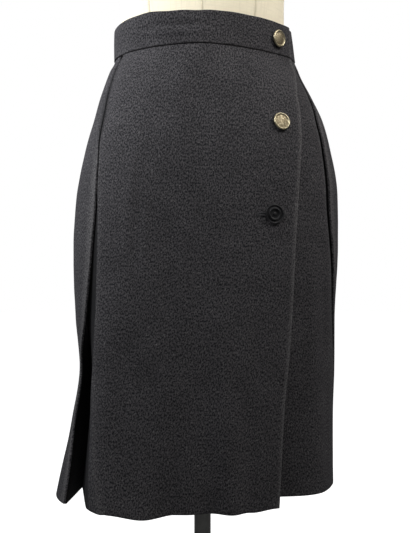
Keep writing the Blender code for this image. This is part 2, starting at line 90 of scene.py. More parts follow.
# The finer cloth
CLOTH = 0.0018
PANEL_ROWS = 150
ROW_EASE = 1.15
FOLD_STEPS = 8
INNER_STEPS = 6
FRONT_POINTS = 104
UNDERLAP_POINTS = 84
BACK_POINTS = 120
FOLD_SHARE = 0.55  # the most of the way to a pleat's seam that a fold's rounding takes
SEWN_ROWS = 34  # along these the pleats are sewn shut, and their seam is painted as a dark line of shade
SEAM_FADE_ROWS = 16  # along which the line fades out below
HIGHLIGHT_REACH = 2.2  # points from an edge that are painted lighter, as pressed shine and painted highlight
CREASE_START = 0.012  # below the waistband, where the creases are at their full depth
TOP_OF_PANEL = BAND_DEPTH + 0.0003  # where a panel goes up into the waistband
TUCK_ROWS = 3
TUCK = 0.0040  # how far it goes up
TUCK_SHARE = 0.45  # how much of the cloth's thickness is left in there
BAND_BLEND = 0.0120  # below the waistband, the panels take this far to reach their own layer
BAND_LEAF = 0.0009  # the waistband's cloth is folded over at the top, so it has two leaves
BAND_SPLIT = 0.00105  # from the waistband's middle to the middle of each leaf
BAND_STEP = 1.0  # degrees
BAND_FACE_ROWS = 22
BAND_FOLD_ROWS = 9
BAND_BACK_ROWS = 9
BAND_SHUT = 0.0035  # from each end of the waistband, where its leaves come together
BAND_BULGE = 0.0004  # how far its face stands out halfway down
BAND_RIPPLE = 0.0005  # how uneven its edges are in height
PANEL_EDGE = 0.00055  # how far the panels' cut edges are rounded
BAND_EDGE = 0.0003  # and the waistband's
CUT_EDGE = 55  # degrees, what counts as a cut edge
DEGREE_ARC = 0.00253  # metres for a degree of plan angle, at the skirt's mean radius


def table(kind, *rows):
    return tuple(kind(*row) for row in rows)


# The skirt's outline in plan by drop: its reach to the wearer's right and left, to the front and to
# the back, and how square it is there (2 is an ellipse)
Section = namedtuple("Section", "drop right left front back square_right square_left square_back")
SECTIONS = table(
    Section,
    (0, 0.1198, 0.123, 0.0925, 0.093, 2.1, 1.5, 2),
    (0.042, 0.1203, 0.1285, 0.0945, 0.097, 1.75, 1.38, 2),
    (0.059, 0.129, 0.1335, 0.0975, 0.101, 1.8, 1.5, 2),
    (0.094, 0.141, 0.1505, 0.104, 0.108, 1.95, 1.8, 2),
    (0.129, 0.15, 0.166, 0.1095, 0.1145, 2.05, 2, 2.05),
    (0.167, 0.1605, 0.1755, 0.1145, 0.1195, 2.15, 2.15, 2.1),
    (0.231, 0.1725, 0.185, 0.1185, 0.1235, 2.2, 2.2, 2.1),
    (0.3, 0.1765, 0.1855, 0.121, 0.124, 2.3, 2.25, 2.1),
    (0.394, 0.173, 0.1805, 0.126, 0.1235, 2.45, 2.3, 2.1),
    (0.461, 0.1668, 0.18, 0.129, 0.1235, 2.5, 2.3, 2.1),
    (0.524, 0.1705, 0.1785, 0.132, 0.124, 2.6, 2.3, 2.1),
    (0.624, 0.1815, 0.18, 0.136, 0.126, 2.8, 2.3, 2.1),
)

# A pleat by drop: the plan angles of its folds and its inner line, how far each fold stands out of
# the outline, how far inside it the inner line lies, and how softly the front panel rolls over
Pleat = namedtuple("Pleat", "drop front_fold back_fold front_out back_out valley valley_in roll")
RIGHT_PLEAT = table(
    Pleat,
    (0.042, 69, 69, 0.0006, -0.0004, 72, 0.0045, 0.002),
    (0.06, 68.2, 68.2, 0.0008, -0.0006, 71.2, 0.005, 0.002),
    (0.08, 67.2, 67.2, 0.0008, -0.0006, 70.2, 0.0052, 0.002),
    (0.106, 65.6, 65.6, 0.0008, -0.0006, 68.6, 0.0055, 0.002),
    (0.152, 62.6, 62.6, 0.0008, -0.0006, 65.6, 0.006, 0.002),
    (0.2, 59.3, 59.3, 0.0008, -0.0004, 62.5, 0.006, 0.0025),
    (0.233, 58, 58.9, 0.0007, 0, 61.8, 0.007, 0.0028),
    (0.267, 56.5, 58.9, 0.001, 0, 63.2, 0.008, 0.003),
    (0.3, 55.4, 59.1, 0.002, 0, 66, 0.01, 0.003),
    (0.394, 53.2, 62.8, 0.006, 0, 72, 0.013, 0.0035),
    (0.461, 53.7, 72.2, 0.009, 0, 75.5, 0.015, 0.006),
    (0.53, 50.9, 69, 0.013, 0.006, 77.5, 0.0165, 0.013),
    (0.56, 49.7, 65.5, 0.0155, 0.009, 78.1, 0.0169, 0.019),
    (0.59, 48.2, 62.2, 0.0185, 0.013, 78.8, 0.0174, 0.026),
    (0.624, 46.3, 60.2, 0.022, 0.017, 79.5, 0.018, 0.038),
)
LEFT_PLEAT = table(
    Pleat,
    (0.042, 88, 88, 0, 0, 91, 0.0045, 0.0025),
    (0.06, 86, 86, 0, 0, 89, 0.0048, 0.0025),
    (0.104, 77.3, 77.3, 0, 0, 80.3, 0.0055, 0.0025),
    (0.141, 71.3, 71.3, 0, 0, 74.3, 0.006, 0.0025),
    (0.244, 68.5, 68.5, 0, 0, 72, 0.0065, 0.0025),
    (0.29, 70, 70, 0, 0, 74.5, 0.008, 0.0025),
    (0.361, 73.5, 73.5, 0, 0, 81, 0.012, 0.0025),
    (0.394, 75.5, 75.5, 0, 0, 85, 0.014, 0.0025),
    (0.461, 79, 79, 0, 0, 91, 0.017, 0.003),
    (0.624, 85, 85, 0, 0, 102, 0.022, 0.003),
)

# The wrap by drop: its free edge's plan angle, how far the flap and the layer under it fall in, and
# that layer's own hidden edge
Wrap = namedtuple("Wrap", "drop edge flap_in under_in under_edge")
WRAP = table(
    Wrap,
    (0.042, 81, 0, 0, -38), (0.06, 79, 0, 0, -34), (0.08, 71.2, 0, 0, -31),
    (0.104, 63.7, 0, 0, -28), (0.184, 54.6, 0, 0, -22), (0.258, 50.7, 0, 0, -20),
    (0.334, 48.3, 0.001, 0.004, -18), (0.424, 46.2, 0.004, 0.01, -17),
    (0.504, 43.3, 0.007, 0.018, -16), (0.624, 40.4, 0.01, 0.027, -16),
)

# Soft folds in the cloth: plan angle, half width, how far it stands out at the hem, how much lower
# the hem hangs there, and the drop where it starts
Wave = namedtuple("Wave", "angle width out sag start")
FRONT_WAVES = table(
    Wave,
    (-47, 13, 0, -0.003, 0.45), (-26, 12, 0.006, 0.004, 0.33), (3, 11, -0.005, 0, 0.38),
    (16, 9, 0.004, 0.001, 0.4), (28, 9, -0.001, 0.002, 0.42),
)
BACK_WAVES = table(
    Wave,
    (128, 15, 0.006, 0.002, 0.34), (150, 10, -0.004, 0, 0.4), (176, 14, 0.005, 0.001, 0.36),
    (200, 11, -0.004, 0, 0.42), (226, 15, 0.006, 0.002, 0.35),
)

# Creases: from one drop and plan angle to another, how wide they are to either side in metres, and
# how far the cloth stands out there, or in where it is less than 0
Crease = namedtuple("Crease", "drop angle to_drop to_angle width out")
FRONT_CREASES = table(
    Crease,
    (0.165, -39, 0.33, -41, 0.013, 0.0012), (0.235, -31, 0.35, -32, 0.011, 0.001),
    (0.27, -19, 0.43, -17, 0.02, -0.0017), (0.045, -12, 0.15, -15, 0.03, 0.0014),
    (0.058, 18, 0.06, 38, 0.0065, -0.0008), (0.068, 20, 0.072, 36, 0.008, 0.0006),
    (0.1, -62, 0.17, -36, 0.017, 0.0009), (0.226, 36, 0.232, 45, 0.012, -0.0011),
    (0.276, 37, 0.284, 47, 0.011, 0.0013), (0.262, 31, 0.3, 16, 0.012, -0.0006),
    (0.148, 41, 0.166, 24, 0.011, -0.0006), (0.132, 41, 0.12, 26, 0.012, 0.0005),
    (0.38, 29, 0.455, 28, 0.016, -0.0012), (0.35, -4, 0.6, -6, 0.03, -0.0022),
    (0.4, 12, 0.61, 13, 0.024, 0.0018), (0.42, -47, 0.615, -44, 0.023, 0.0014),
    (0.45, -27, 0.62, -25, 0.018, -0.0012), (0.47, 33, 0.6, 31, 0.016, 0.001),
    (0.3, 2, 0.36, 12, 0.02, 0.0008),
)
UNDERLAP_CREASES = table(
    Crease,
    (0.3, 66, 0.59, 68, 0.013, -0.0016), (0.32, 59, 0.6, 60, 0.011, 0.0011),
    (0.11, 66, 0.19, 61, 0.01, 0.0005), (0.42, 76, 0.612, 78, 0.013, 0.0012),
)
BACK_CREASES = table(
    Crease,
    (0.06, 95, 0.23, 92, 0.02, 0.0009), (0.15, 108, 0.33, 104, 0.018, -0.0014),
    (0.33, 118, 0.6, 121, 0.023, 0.0019), (0.36, 137, 0.61, 139, 0.02, -0.0018),
    (0.07, 148, 0.19, 141, 0.024, 0.0011), (0.3, 158, 0.6, 160, 0.026, 0.002),
    (0.06, 172, 0.14, 170, 0.015, -0.0009), (0.38, 184, 0.61, 187, 0.023, -0.0021),
    (0.1, 196, 0.25, 203, 0.02, 0.0012), (0.34, 206, 0.6, 209, 0.025, 0.0018),
    (0.29, 222, 0.59, 226, 0.018, -0.0015), (0.09, 232, 0.2, 240, 0.018, 0.001),
    (0.24, 250, 0.43, 246, 0.019, 0.0014), (0.13, 262, 0.28, 258, 0.014, -0.0009),
)
BAND_CREASES = table(
    Crease,
    (0.0165, -50, 0.018, 8, 0.005, -0.0011), (0.025, -52, 0.027, 6, 0.007, 0.0007),
    (0.028, -50, 0.03, 20, 0.009, 0.0005), (0.007, 20, 0.012, 46, 0.006, -0.0005),
    (0.03, -110, 0.018, -140, 0.007, -0.0005), (0.02, -160, 0.023, -215, 0.006, -0.0006),
    (0.015, -240, 0.026, -262, 0.006, -0.0005),
)
# Where the waistband's top edge sags: plan angle, how far to either side, and how low
BAND_SAGS = ((-96, 52, 0.0048), (-40, 14, -0.0014), (-5, 12, 0.0010), (72, 12, 0.0008))
UNEVEN = ((14.0, 0.0007), (41.0, 0.00022))  # waves to a metre, and how far they move the cloth

# The torso above the waist: rise over the waistband's top edge, and its reach there
Torso = namedtuple("Torso", "rise side front back square")
TORSO = table(
    Torso,
    (0, 0.113, 0.0845, 0.084, 1.5), (0.034, 0.113, 0.085, 0.084, 1.65),
    (0.08, 0.1185, 0.092, 0.088, 1.9), (0.13, 0.1275, 0.104, 0.095, 2.08),
    (0.18, 0.137, 0.116, 0.101, 2.15), (0.225, 0.143, 0.118, 0.105, 2.2),
    (0.275, 0.147, 0.108, 0.106, 2.2), (0.315, 0.151, 0.093, 0.101, 2.2),
    (0.345, 0.15, 0.08, 0.091, 2.15), (0.368, 0.127, 0.07, 0.08, 2.1),
    (0.386, 0.096, 0.062, 0.069, 2.05), (0.402, 0.072, 0.057, 0.061, 2),
    (0.425, 0.059, 0.055, 0.057, 2), (0.455, 0.056, 0.056, 0.056, 2),
)


@lru_cache(maxsize=None)
def row_at(rows, place):
    """A table's row at any place, on curves through its rows that never overshoot them."""
    places = [row[0] for row in rows]
    if place <= places[0]:
        return rows[0]
    if place >= places[-1]:
        return rows[-1]
    steps = [b - a for a, b in zip(places, places[1:])]
    i = max(k for k in range(len(steps)) if place >= places[k])
    t = (place - places[i]) / steps[i]
    found = []
    for values in zip(*rows):
        slopes = [(b - a) / step for a, b, step in zip(values, values[1:], steps)]
        tangents = [slopes[0]]
        for before, after in zip(slopes, slopes[1:]):
            same_way = before * after > 0
            tangents.append(2 * before * after / (before + after) if same_way else 0.0)
        tangents.append(slopes[-1])
        start = (1 + 2 * t) * (1 - t) ** 2 * values[i] + t * (1 - t) ** 2 * steps[i] * tangents[i]
        end = t * t * (3 - 2 * t) * values[i + 1] - t * t * (1 - t) * steps[i] * tangents[i + 1]
        found.append(start + end)
    return type(rows[0])(*found)


def spread(first, last, count):
    return [first + (last - first) * i / (count - 1) for i in range(count)]


def fade(distance, reach):
    """1 at no distance, falling smoothly to 0 at the reach."""
    t = min(1.0, abs(distance) / reach)
    return 1 - t * t * (3 - 2 * t)


def squared_radius(angle, across, along, square):
    """A squared ellipse's radius at a plan angle, reaching `across` in X and `along` in Y."""
    sine = abs(math.sin(math.radians(angle)))
    cosine = abs(math.cos(math.radians(angle)))
    return ((sine / across) ** square + (cosine / along) ** square) ** (-1 / square)


def outline_radius(drop, angle):
    """The skirt's plain outline, with no fold in it."""
    turned = (angle + 180) % 360 - 180
    section = row_at(SECTIONS, drop)
    across = section.left if turned >= 0 else section.right
    if abs(turned) > 90:
        return squared_radius(turned, across, section.back, section.square_back)
    square = section.square_left if turned >= 0 else section.square_right
    return squared_radius(turned, across, section.front, square)


def wave_out(waves, drop, angle):
    """How far the soft folds move the cloth out at a place."""
    total = 0.0
    for wave in waves:
        grown = max(0.0, (drop - wave.start) / (FRONT_HEM - wave.start))
        total += wave.out * grown**1.5 * fade(angle - wave.angle, wave.width)
    return total


def wave_sag(waves, angle):
    """How much lower the hem hangs at a place, because of the soft folds."""
    return sum(wave.sag * fade(angle - wave.angle, wave.width) for wave in waves)


def uneven(place, size):
    """A smooth unevenness, the same each time, for a place in metres."""
    return sum(out * noise.noise(Vector(place) * waves) for waves, out in UNEVEN) * size


def crease_out(creases, drop, angle, size):
    """How far the creases move the cloth out at a place."""
    here = Vector((angle * DEGREE_ARC, drop))
    total = 0.0
    for crease in creases:
        start = Vector((crease.angle * DEGREE_ARC, crease.drop))
        run = Vector((crease.to_angle * DEGREE_ARC, crease.to_drop)) - start
        t = max(0.0, min(1.0, (here - start).dot(run) / run.length_squared))
        wander = noise.noise(Vector((t * run.length * 22, crease.width * 700, 3.0)))
        away = (here - start - run * t).length + wander * crease.width * 0.25
        if abs(away) < crease.width:
            strength = 0.45 + 2.2 * t * (1 - t) + 0.35 * wander
            total += crease.out * strength * fade(away, crease.width)
    return total * size


# --- The panels' surfaces: each gives a radius at a drop and a plan angle


def overlap_radius(drop, angle):
    """The front that shows: it stands out towards its pleat and falls in towards its free edge."""
    pleat, wrap = row_at(RIGHT_PLEAT, drop), row_at(WRAP, drop)
    kick = pleat.front_out * fade(angle + pleat.front_fold, FRONT_KICK_REACH)
    fallen = wrap.flap_in * fade(angle - wrap.edge, FLAP_REACH)
    return outline_radius(drop, angle) + kick - fallen + wave_out(FRONT_WAVES, drop, angle)


def underlap_radius(drop, angle):
    """The front beneath it, which falls in under the wrap's edge."""
    wrap = row_at(WRAP, drop)
    past_edge = max(0.0, angle - wrap.edge)
    return outline_radius(drop, angle) - wrap.under_in * fade(past_edge, UNDERLAP_REACH)


def back_radius(drop, angle):
    """The back, from the wearer's left pleat round to the right one."""
    pleat = row_at(RIGHT_PLEAT, drop)
    kick = pleat.back_out * fade(angle - 360 + pleat.back_fold, BACK_KICK_REACH)
    return outline_radius(drop, angle) + kick + wave_out(BACK_WAVES, drop, angle)


def plan_point(surface, drop, angle, out=0.0):
    """A point of a surface in plan, moved out along the surface's own normal."""

    def place(at):
        turn = math.radians(at)
        return surface(drop, at) * Vector((math.sin(turn), -math.cos(turn)))

    along = place(angle + 0.2) - place(angle - 0.2)
    return place(angle) + Vector((along.y, -along.x)).normalized() * out


def band_out(angle):
    """The waistband's strip spirals in from its outer end, so that its ends lie on each other."""
    first, last = row_at(WRAP, BAND_DEPTH).edge, BAND_UNDERLAP_END - 360
    spiral = BAND_PITCH * (first - last) / 360
    return spiral * (0.5 - (first - angle) / (first - last))


# A cloth's surface, how far out of it its middle lies, how many turns further in it is along the
# waistband's spiral, half its thickness, its wall in the CAD and how far behind the next layer is
Cloth = namedtuple(
    "Cloth", "radius layer winds half wall pitch", defaults=(CLOTH / 2, PANEL_WALL, 2 * LAYER))
OVERLAP = Cloth(overlap_radius, LAYER, 0)
UNDERLAP = Cloth(underlap_radius, -LAYER, 1)
BACK = Cloth(back_radius, 0.0, 1)
BAND = Cloth(outline_radius, 0.0, 0, BAND_SPLIT + BAND_LEAF / 2, BAND_WALL, BAND_PITCH)

# Buttons: drop and plan angle, how far the buttonhole reaches to the wearer's right and left,
# whether the metal cap is still on, and the cloth that the button fastens
Button = namedtuple("Button", "name drop angle hole_right hole_left capped cloth")
BUTTONS = table(
    Button,
    ("button_band", 0.0220, 67.5, 0.0150, 0.0045, True, BAND),
    ("button_upper", 0.1422, 46.5, 0.0145, 0.0045, True, OVERLAP),
    ("button_lower", 0.2596, 39.0, 0.0185, 0.0135, False, OVERLAP),
)
SLIT_HEIGHT = 0.0011
SLIT_DEPTH = 2.2  # half thicknesses of the cloth, to either side of its middle
SLIT_POINTS = 16
THREAD = 0.00021
STITCH = 0.0019
STITCH_PITCH = 0.00052
END_STITCHES = 9
BUTTON_SIDES = 72
BUTTON_EDGE = 0.00015


def laid(cloth, drop, angle, out=0.0):
    """A plan point of a cloth: on its own layer, and at the top inside the folded waistband."""
    share = fade(drop - BAND_DEPTH, BAND_BLEND) if drop > BAND_DEPTH else 1.0
    layer = cloth.layer + (band_out(angle - 360 * cloth.winds) - cloth.layer) * share
    return plan_point(cloth.radius, drop, angle, layer + out)


def at_drop(plan, drop, lift=0.0):
    return Vector((plan.x, plan.y, WAIST_HEIGHT - drop + lift))


# --- Paths across the panels, one for each row

Fold = namedtuple("Fold", "angle corner inner radius hook")
# Where the back panel's wall ends, it turns in behind the front panel's, to which it is sewn: how
# far across, as a share of half the walls' pitch, and how far in
SEAM_HOOK = ((-0.80, 0.0008), (-0.25, 0.0019), (0.6, 0.0024), (1.5, 0.0025))


def pleat_folds(side, drop):
    """A pleat's front and back folds, with side 1 at the wearer's left and -1 at the right."""
    pleat = row_at(LEFT_PLEAT if side > 0 else RIGHT_PLEAT, drop)
    outline = outline_radius(drop, side * pleat.front_fold)
    run = math.radians(pleat.valley - pleat.front_fold) * outline
    closed = WALL_PITCH / math.sin(math.atan2(pleat.valley_in, run))
    front_angle = pleat.front_fold
    back_angle = max(pleat.back_fold, front_angle + math.degrees(closed / outline))
    if side < 0:
        front_angle, back_angle = -front_angle, 360 - back_angle
    front = laid(UNDERLAP if side > 0 else OVERLAP, drop, front_angle)
    back = laid(BACK, drop, back_angle)
    valley = plan_point(outline_radius, drop, side * pleat.valley, -pleat.valley_in)
    inward = ((valley - front).normalized() + (valley - back).normalized()).normalized()
    across = Vector((-inward.y, inward.x)) * WALL_PITCH / 2
    if across.dot(front - back) < 0:
        across = -across
    hook = [valley + across * share + inward * depth for share, depth in SEAM_HOOK]
    return (
        Fold(front_angle, front, valley + across, pleat.roll, []),
        Fold(back_angle, back, valley - across, FOLD_RADIUS, hook),
    )


def rounded(before, corner, after, radius):
    """Points on an arc that rounds a corner, and how far from the corner it starts."""
    arm, other = (before - corner).normalized(), (after - corner).normalized()
    half = arm.angle(other) / 2
    radius = min(radius, FOLD_SHARE * (after - corner).length * math.tan(half))
    reach = radius / math.tan(half)
    middle = corner + (arm + other).normalized() * radius / math.sin(half)
    start, end = corner + arm * reach - middle, corner + other * reach - middle
    swept = start.angle_signed(end)
    points = []
    for t in spread(0.0, 1.0, FOLD_STEPS + 1):
        turn = Matrix.Rotation(-swept * t, 2)
        points.append(middle + turn @ start)
    return points, reach


def panel_path(cloth, drop, first, last, count):
    """Plan points across a panel, from one plan angle or Fold to another, and how many of them at
    each end go round and behind a fold."""
    ends, walls = [], []
    for end, other in ((first, last), (last, first)):
        if not isinstance(end, Fold):
            ends.append(end)
            walls.append([])
            continue
        other_angle = other.angle if isinstance(other, Fold) else other
        heading = 1.0 if other_angle > end.angle else -1.0
        face = laid(cloth, drop, end.angle + heading)
        arc, reach = rounded(face, end.corner, end.inner, end.radius)
        ends.append(end.angle + heading * math.degrees(reach / end.corner.length))
        behind = [arc[-1].lerp(end.inner, t) for t in spread(0.0, 1.0, INNER_STEPS + 1)]
        walls.append(arc + behind[1:] + end.hook)
    across = [laid(cloth, drop, angle) for angle in spread(*ends, count)]
    if walls[0]:
        across = walls[0][::-1] + across[1:]
    if walls[1]:
        across = across[:-1] + walls[1]
    return across, [len(wall) for wall in walls]


def overlap_ends(drop):
    return row_at(WRAP, drop).edge, pleat_folds(-1, drop)[0]


def underlap_ends(drop):
    return pleat_folds(1, drop)[0], row_at(WRAP, drop).under_edge


def back_ends(drop):
    return pleat_folds(-1, drop)[1], pleat_folds(1, drop)[1]


# --- Cloth made of rows of points


def plan_angle(point):
    return math.degrees(math.atan2(point.x, -point.y))


def in_reach(angle, low, high):
    """The same plan angle, a full turn up or down where that brings it between low and high."""
    for turned in (angle, angle + 360, angle - 360):
        if low <= turned <= high:
            return turned
    return angle


def normals_of(rows):
    """The outward normal at each point of a grid."""
    found = []
    for i, row in enumerate(rows):
        above, below = rows[max(i - 1, 0)], rows[min(i + 1, len(rows) - 1)]
        line = []
        for j in range(len(row)):
            across = row[min(j + 1, len(row) - 1)] - row[max(j - 1, 0)]
            line.append(across.cross(below[j] - above[j]).normalized())
        found.append(line)
    middle = len(rows[0]) // 2
    if rows[0][middle].to_2d().dot(found[0][middle].to_2d()) < 0:
        found = [[-normal for normal in line] for line in found]
    return found


# The panels: cut is the width, length and area of the sheet as cut out flat, reach and turns are
# the plan angles that it and its top span, then how much lighter its folds are painted, as pressed
# shine and painted highlight, and how dark the painted seam shade at each end is
Panel = namedtuple(
    "Panel", "name cloth hem cut ends points waves creases reach turns pressed dark")
PANELS = table(
    Panel,
    ("front_overlap", OVERLAP, FRONT_HEM, (0.395, 0.640, 0.182), overlap_ends, FRONT_POINTS,
     FRONT_WAVES, FRONT_CREASES, (-110, 110), (-180, 180), 0.3, (0.0, 1.0)),
    ("front_underlap", UNDERLAP, UNDERLAP_HEM, (0.330, 0.632, 0.149), underlap_ends,
     UNDERLAP_POINTS, (), UNDERLAP_CREASES, (-110, 130), (-180, 180), 0.3, (0.0, 0.0)),
    ("back_panel", BACK, BACK_HEM, (0.630, 0.640, 0.368), back_ends, BACK_POINTS,
     BACK_WAVES, BACK_CREASES, (40, 340), (0, 360), 1.0, (1.0, 0.0)),
)


def panel_grid(panel, size):
    """A panel's points, row by row from the waistband to the hem, with its creases in it."""
    rows, drops = [], []
    for t in spread(0.0, 1.0, PANEL_ROWS):
        down = t**ROW_EASE
        drop = TOP_OF_PANEL + (panel.hem - TOP_OF_PANEL) * down
        points, walls = panel_path(panel.cloth, drop, *panel.ends(drop), panel.points)
        row = []
        for point in points:
            sag = wave_sag(panel.waves, in_reach(plan_angle(point), *panel.reach)) * down**2
            row.append(at_drop(point, drop, -sag))
        rows.append(row)
        drops.append(drop)
    last = len(rows[0]) - 1
    for row, line, drop in zip(rows, normals_of(rows), drops):
        settled = fade(max(0.0, CREASE_START - (drop - TOP_OF_PANEL)), CREASE_START)
        for j, (point, normal) in enumerate(zip(list(row), line)):
            from_walls = [end - wall for end, wall in zip((j, last - j), walls) if wall]
            face = max(0.0, min(1.0, min(from_walls) / 5))
            if face == 0.0:
                continue
            angle = in_reach(plan_angle(point), *panel.reach)
            out = crease_out(panel.creases, drop, angle, size) + uneven(point, size)
            row[j] = point + normal * out * face * settled
    return rows, walls


def tuck_rows(panel, grid, walls):
    """Rows above a panel's top, which go up into the waistband. Pleat walls stay below it."""
    first, last = walls[0], len(grid[0]) - walls[1]
    rows = []
    for k in range(TUCK_ROWS, 0, -1):
        drop = TOP_OF_PANEL - TUCK * k / TUCK_ROWS
        angles = [in_reach(plan_angle(top), *panel.turns) for top in grid[0][first:last]]
        rows.append([at_drop(laid(panel.cloth, drop, angle), drop) for angle in angles])
    return rows, first


def linked(name, data):
    made = bpy.data.objects.new(name, data)
    bpy.context.scene.collection.objects.link(made)
    return made


def mesh_object(name, bm, finish=None):
    mesh = bpy.data.meshes.new(name)
    bm.to_mesh(mesh)
    bm.free()
    if finish:
        mesh.materials.append(finish)
    return linked(name, mesh)


def modify(made, name, kind, **settings):
    modifier = made.modifiers.new(name, kind)
    for setting, value in settings.items():
        setattr(modifier, setting, value)


def round_edges(made, width, segments, degrees):
    """Rounds the edges that are sharper than so many degrees."""
    modify(made, "Edges", "BEVEL", width=width, segments=segments, limit_method="ANGLE",
           angle_limit=math.radians(degrees))


def grid_faces(bm, grid):
    for upper, lower in zip(grid, grid[1:]):
        for i in range(len(upper) - 1):
            bm.faces.new((upper[i], lower[i], lower[i + 1], upper[i + 1]))


def cloth_object(name, rows, thickness, finish, pressed, painted_shade, tuck=None):
    """A thin sheet with its points in the middle, a UV map in metres along its weave, and
    attributes for the painted highlight along its edges and folds, partly pressed shine, and for
    painted shade where it lies deep in a fold or a seam."""
    bm = bmesh.new()
    uv = bm.loops.layers.uv.new("Weave")
    press = bm.verts.layers.float.new("pressed")
    depth = bm.verts.layers.float.new("painted_shade")
    thin = bm.verts.layers.deform.new()
    flat = {}
    grid = []
    for i, row in enumerate(rows):
        line, across = [], 0.0
        middle = sum((b - a).length for a, b in zip(row, row[1:])) / 2
        for j, point in enumerate(row):
            vert = bm.verts.new(point)
            if j:
                across += (point - row[j - 1]).length
            flat[vert] = (across - middle, rows[0][0].z - point.z)
            # painted highlight along edges and folds, partly pressed shine, and painted shade in
            # folds and seams
            vert[press] = pressed(i, j)
            vert[depth] = painted_shade(i, j)
            vert[thin][0] = 1.0
            line.append(vert)
        grid.append(line)
    grid_faces(bm, grid)
    if tuck:
        above, first = tuck
        lines = []
        for row in above:
            line = []
            for k, point in enumerate(row):
                vert = bm.verts.new(point)
                under = grid[0][first + k]
                flat[vert] = (flat[under][0], under.co.z - point.z)
                # painted full shade where the panel goes up inside the waistband
                vert[depth] = 1.0
                vert[thin][0] = 0.0
                under[thin][0] = 0.0
                line.append(vert)
            lines.append(line)
        lines.append(grid[0][first : first + len(above[0])])
        grid_faces(bm, lines)
    for face in bm.faces:
        for loop in face.loops:
            loop[uv].uv = flat[loop.vert]
    made = mesh_object(name, bm, finish)
    made.vertex_groups.new(name="wall")
    made.data.shade_smooth()
    modify(made, "Wall", "SOLIDIFY", thickness=thickness, offset=0.0, use_even_offset=True,
           vertex_group="wall", thickness_vertex_group=TUCK_SHARE)
    return made


def sewn_shut(i, seam):
    """How much of a pleat's painted seam shade shows at a row, where seam is how dark it is painted
    when shut.
    """
    return seam * max(0.0, min(1.0, 1 - (i - SEWN_ROWS) / SEAM_FADE_ROWS))


def painted_edge_light(points, walls, at_folds, seams):
    """How much lighter the cloth is painted at each point, as pressed shine and painted highlight:
    1 at a free edge, less at a fold, 0 further in.
    """

    def pressed(i, j):
        ends = (j - max(0, walls[0] - 1), points - 1 - j - max(0, walls[1] - 1))
        return max(
            (at_folds * (1 - sewn_shut(i, seam)) if wall else 1.0)
            * max(0.0, 1 - abs(end) / HIGHLIGHT_REACH)
            for wall, end, seam in zip(walls, ends, seams))

    return pressed


def pleat_shade(points, walls, seams):
    """How much painted shade each point gets: 1 behind a pleat's folds and in a seam, 0 outside."""

    def painted_shade(i, j):
        found = 1.0 - i
        for behind, seam in zip((walls[0] - j, j - (points - 1 - walls[1])), seams):
            start = (FOLD_STEPS / 2 + 1) - (FOLD_STEPS / 2 + 1.5) * sewn_shut(i, seam)
            found = max(found, min(1.0, (behind - start) / 2))
        return max(0.0, found)

    return painted_shade


def turned(name, profile, sides, finish, edge=0.0006):
    """A profile of (radius, height) points turned round Z, from the top's middle out and down."""
    bm = bmesh.new()
    points = [bm.verts.new((radius, 0.0, height)) for radius, height in profile]
    for pair in zip(points, points[1:]):
        bm.edges.new(pair)
    made = mesh_object(name, bm, finish)
    modify(made, "Turn", "SCREW", axis="Z", steps=sides, render_steps=sides,
           use_merge_vertices=True, merge_threshold=1e-5, use_smooth_shade=True)
    round_edges(made, edge, 3, 28)
    return made


def smooth_profile(points, steps):
    """More points on a curve through a profile, where it should be round and not faceted."""
    found = []
    for k in range(len(points) - 1):
        p0 = Vector(points[max(k - 1, 0)])
        p1, p2 = Vector(points[k]), Vector(points[k + 1])
        p3 = Vector(points[min(k + 2, len(points) - 1)])
        for s in range(steps):
            t = s / steps
            found.append(tuple(
                0.5 * (2 * p1 + (p2 - p0) * t + (2 * p0 - 5 * p1 + 4 * p2 - p3) * t * t
                       + (3 * p1 - p0 - 3 * p2 + p3) * t * t * t)))
    found.append(points[-1])
    return found


# --- Materials


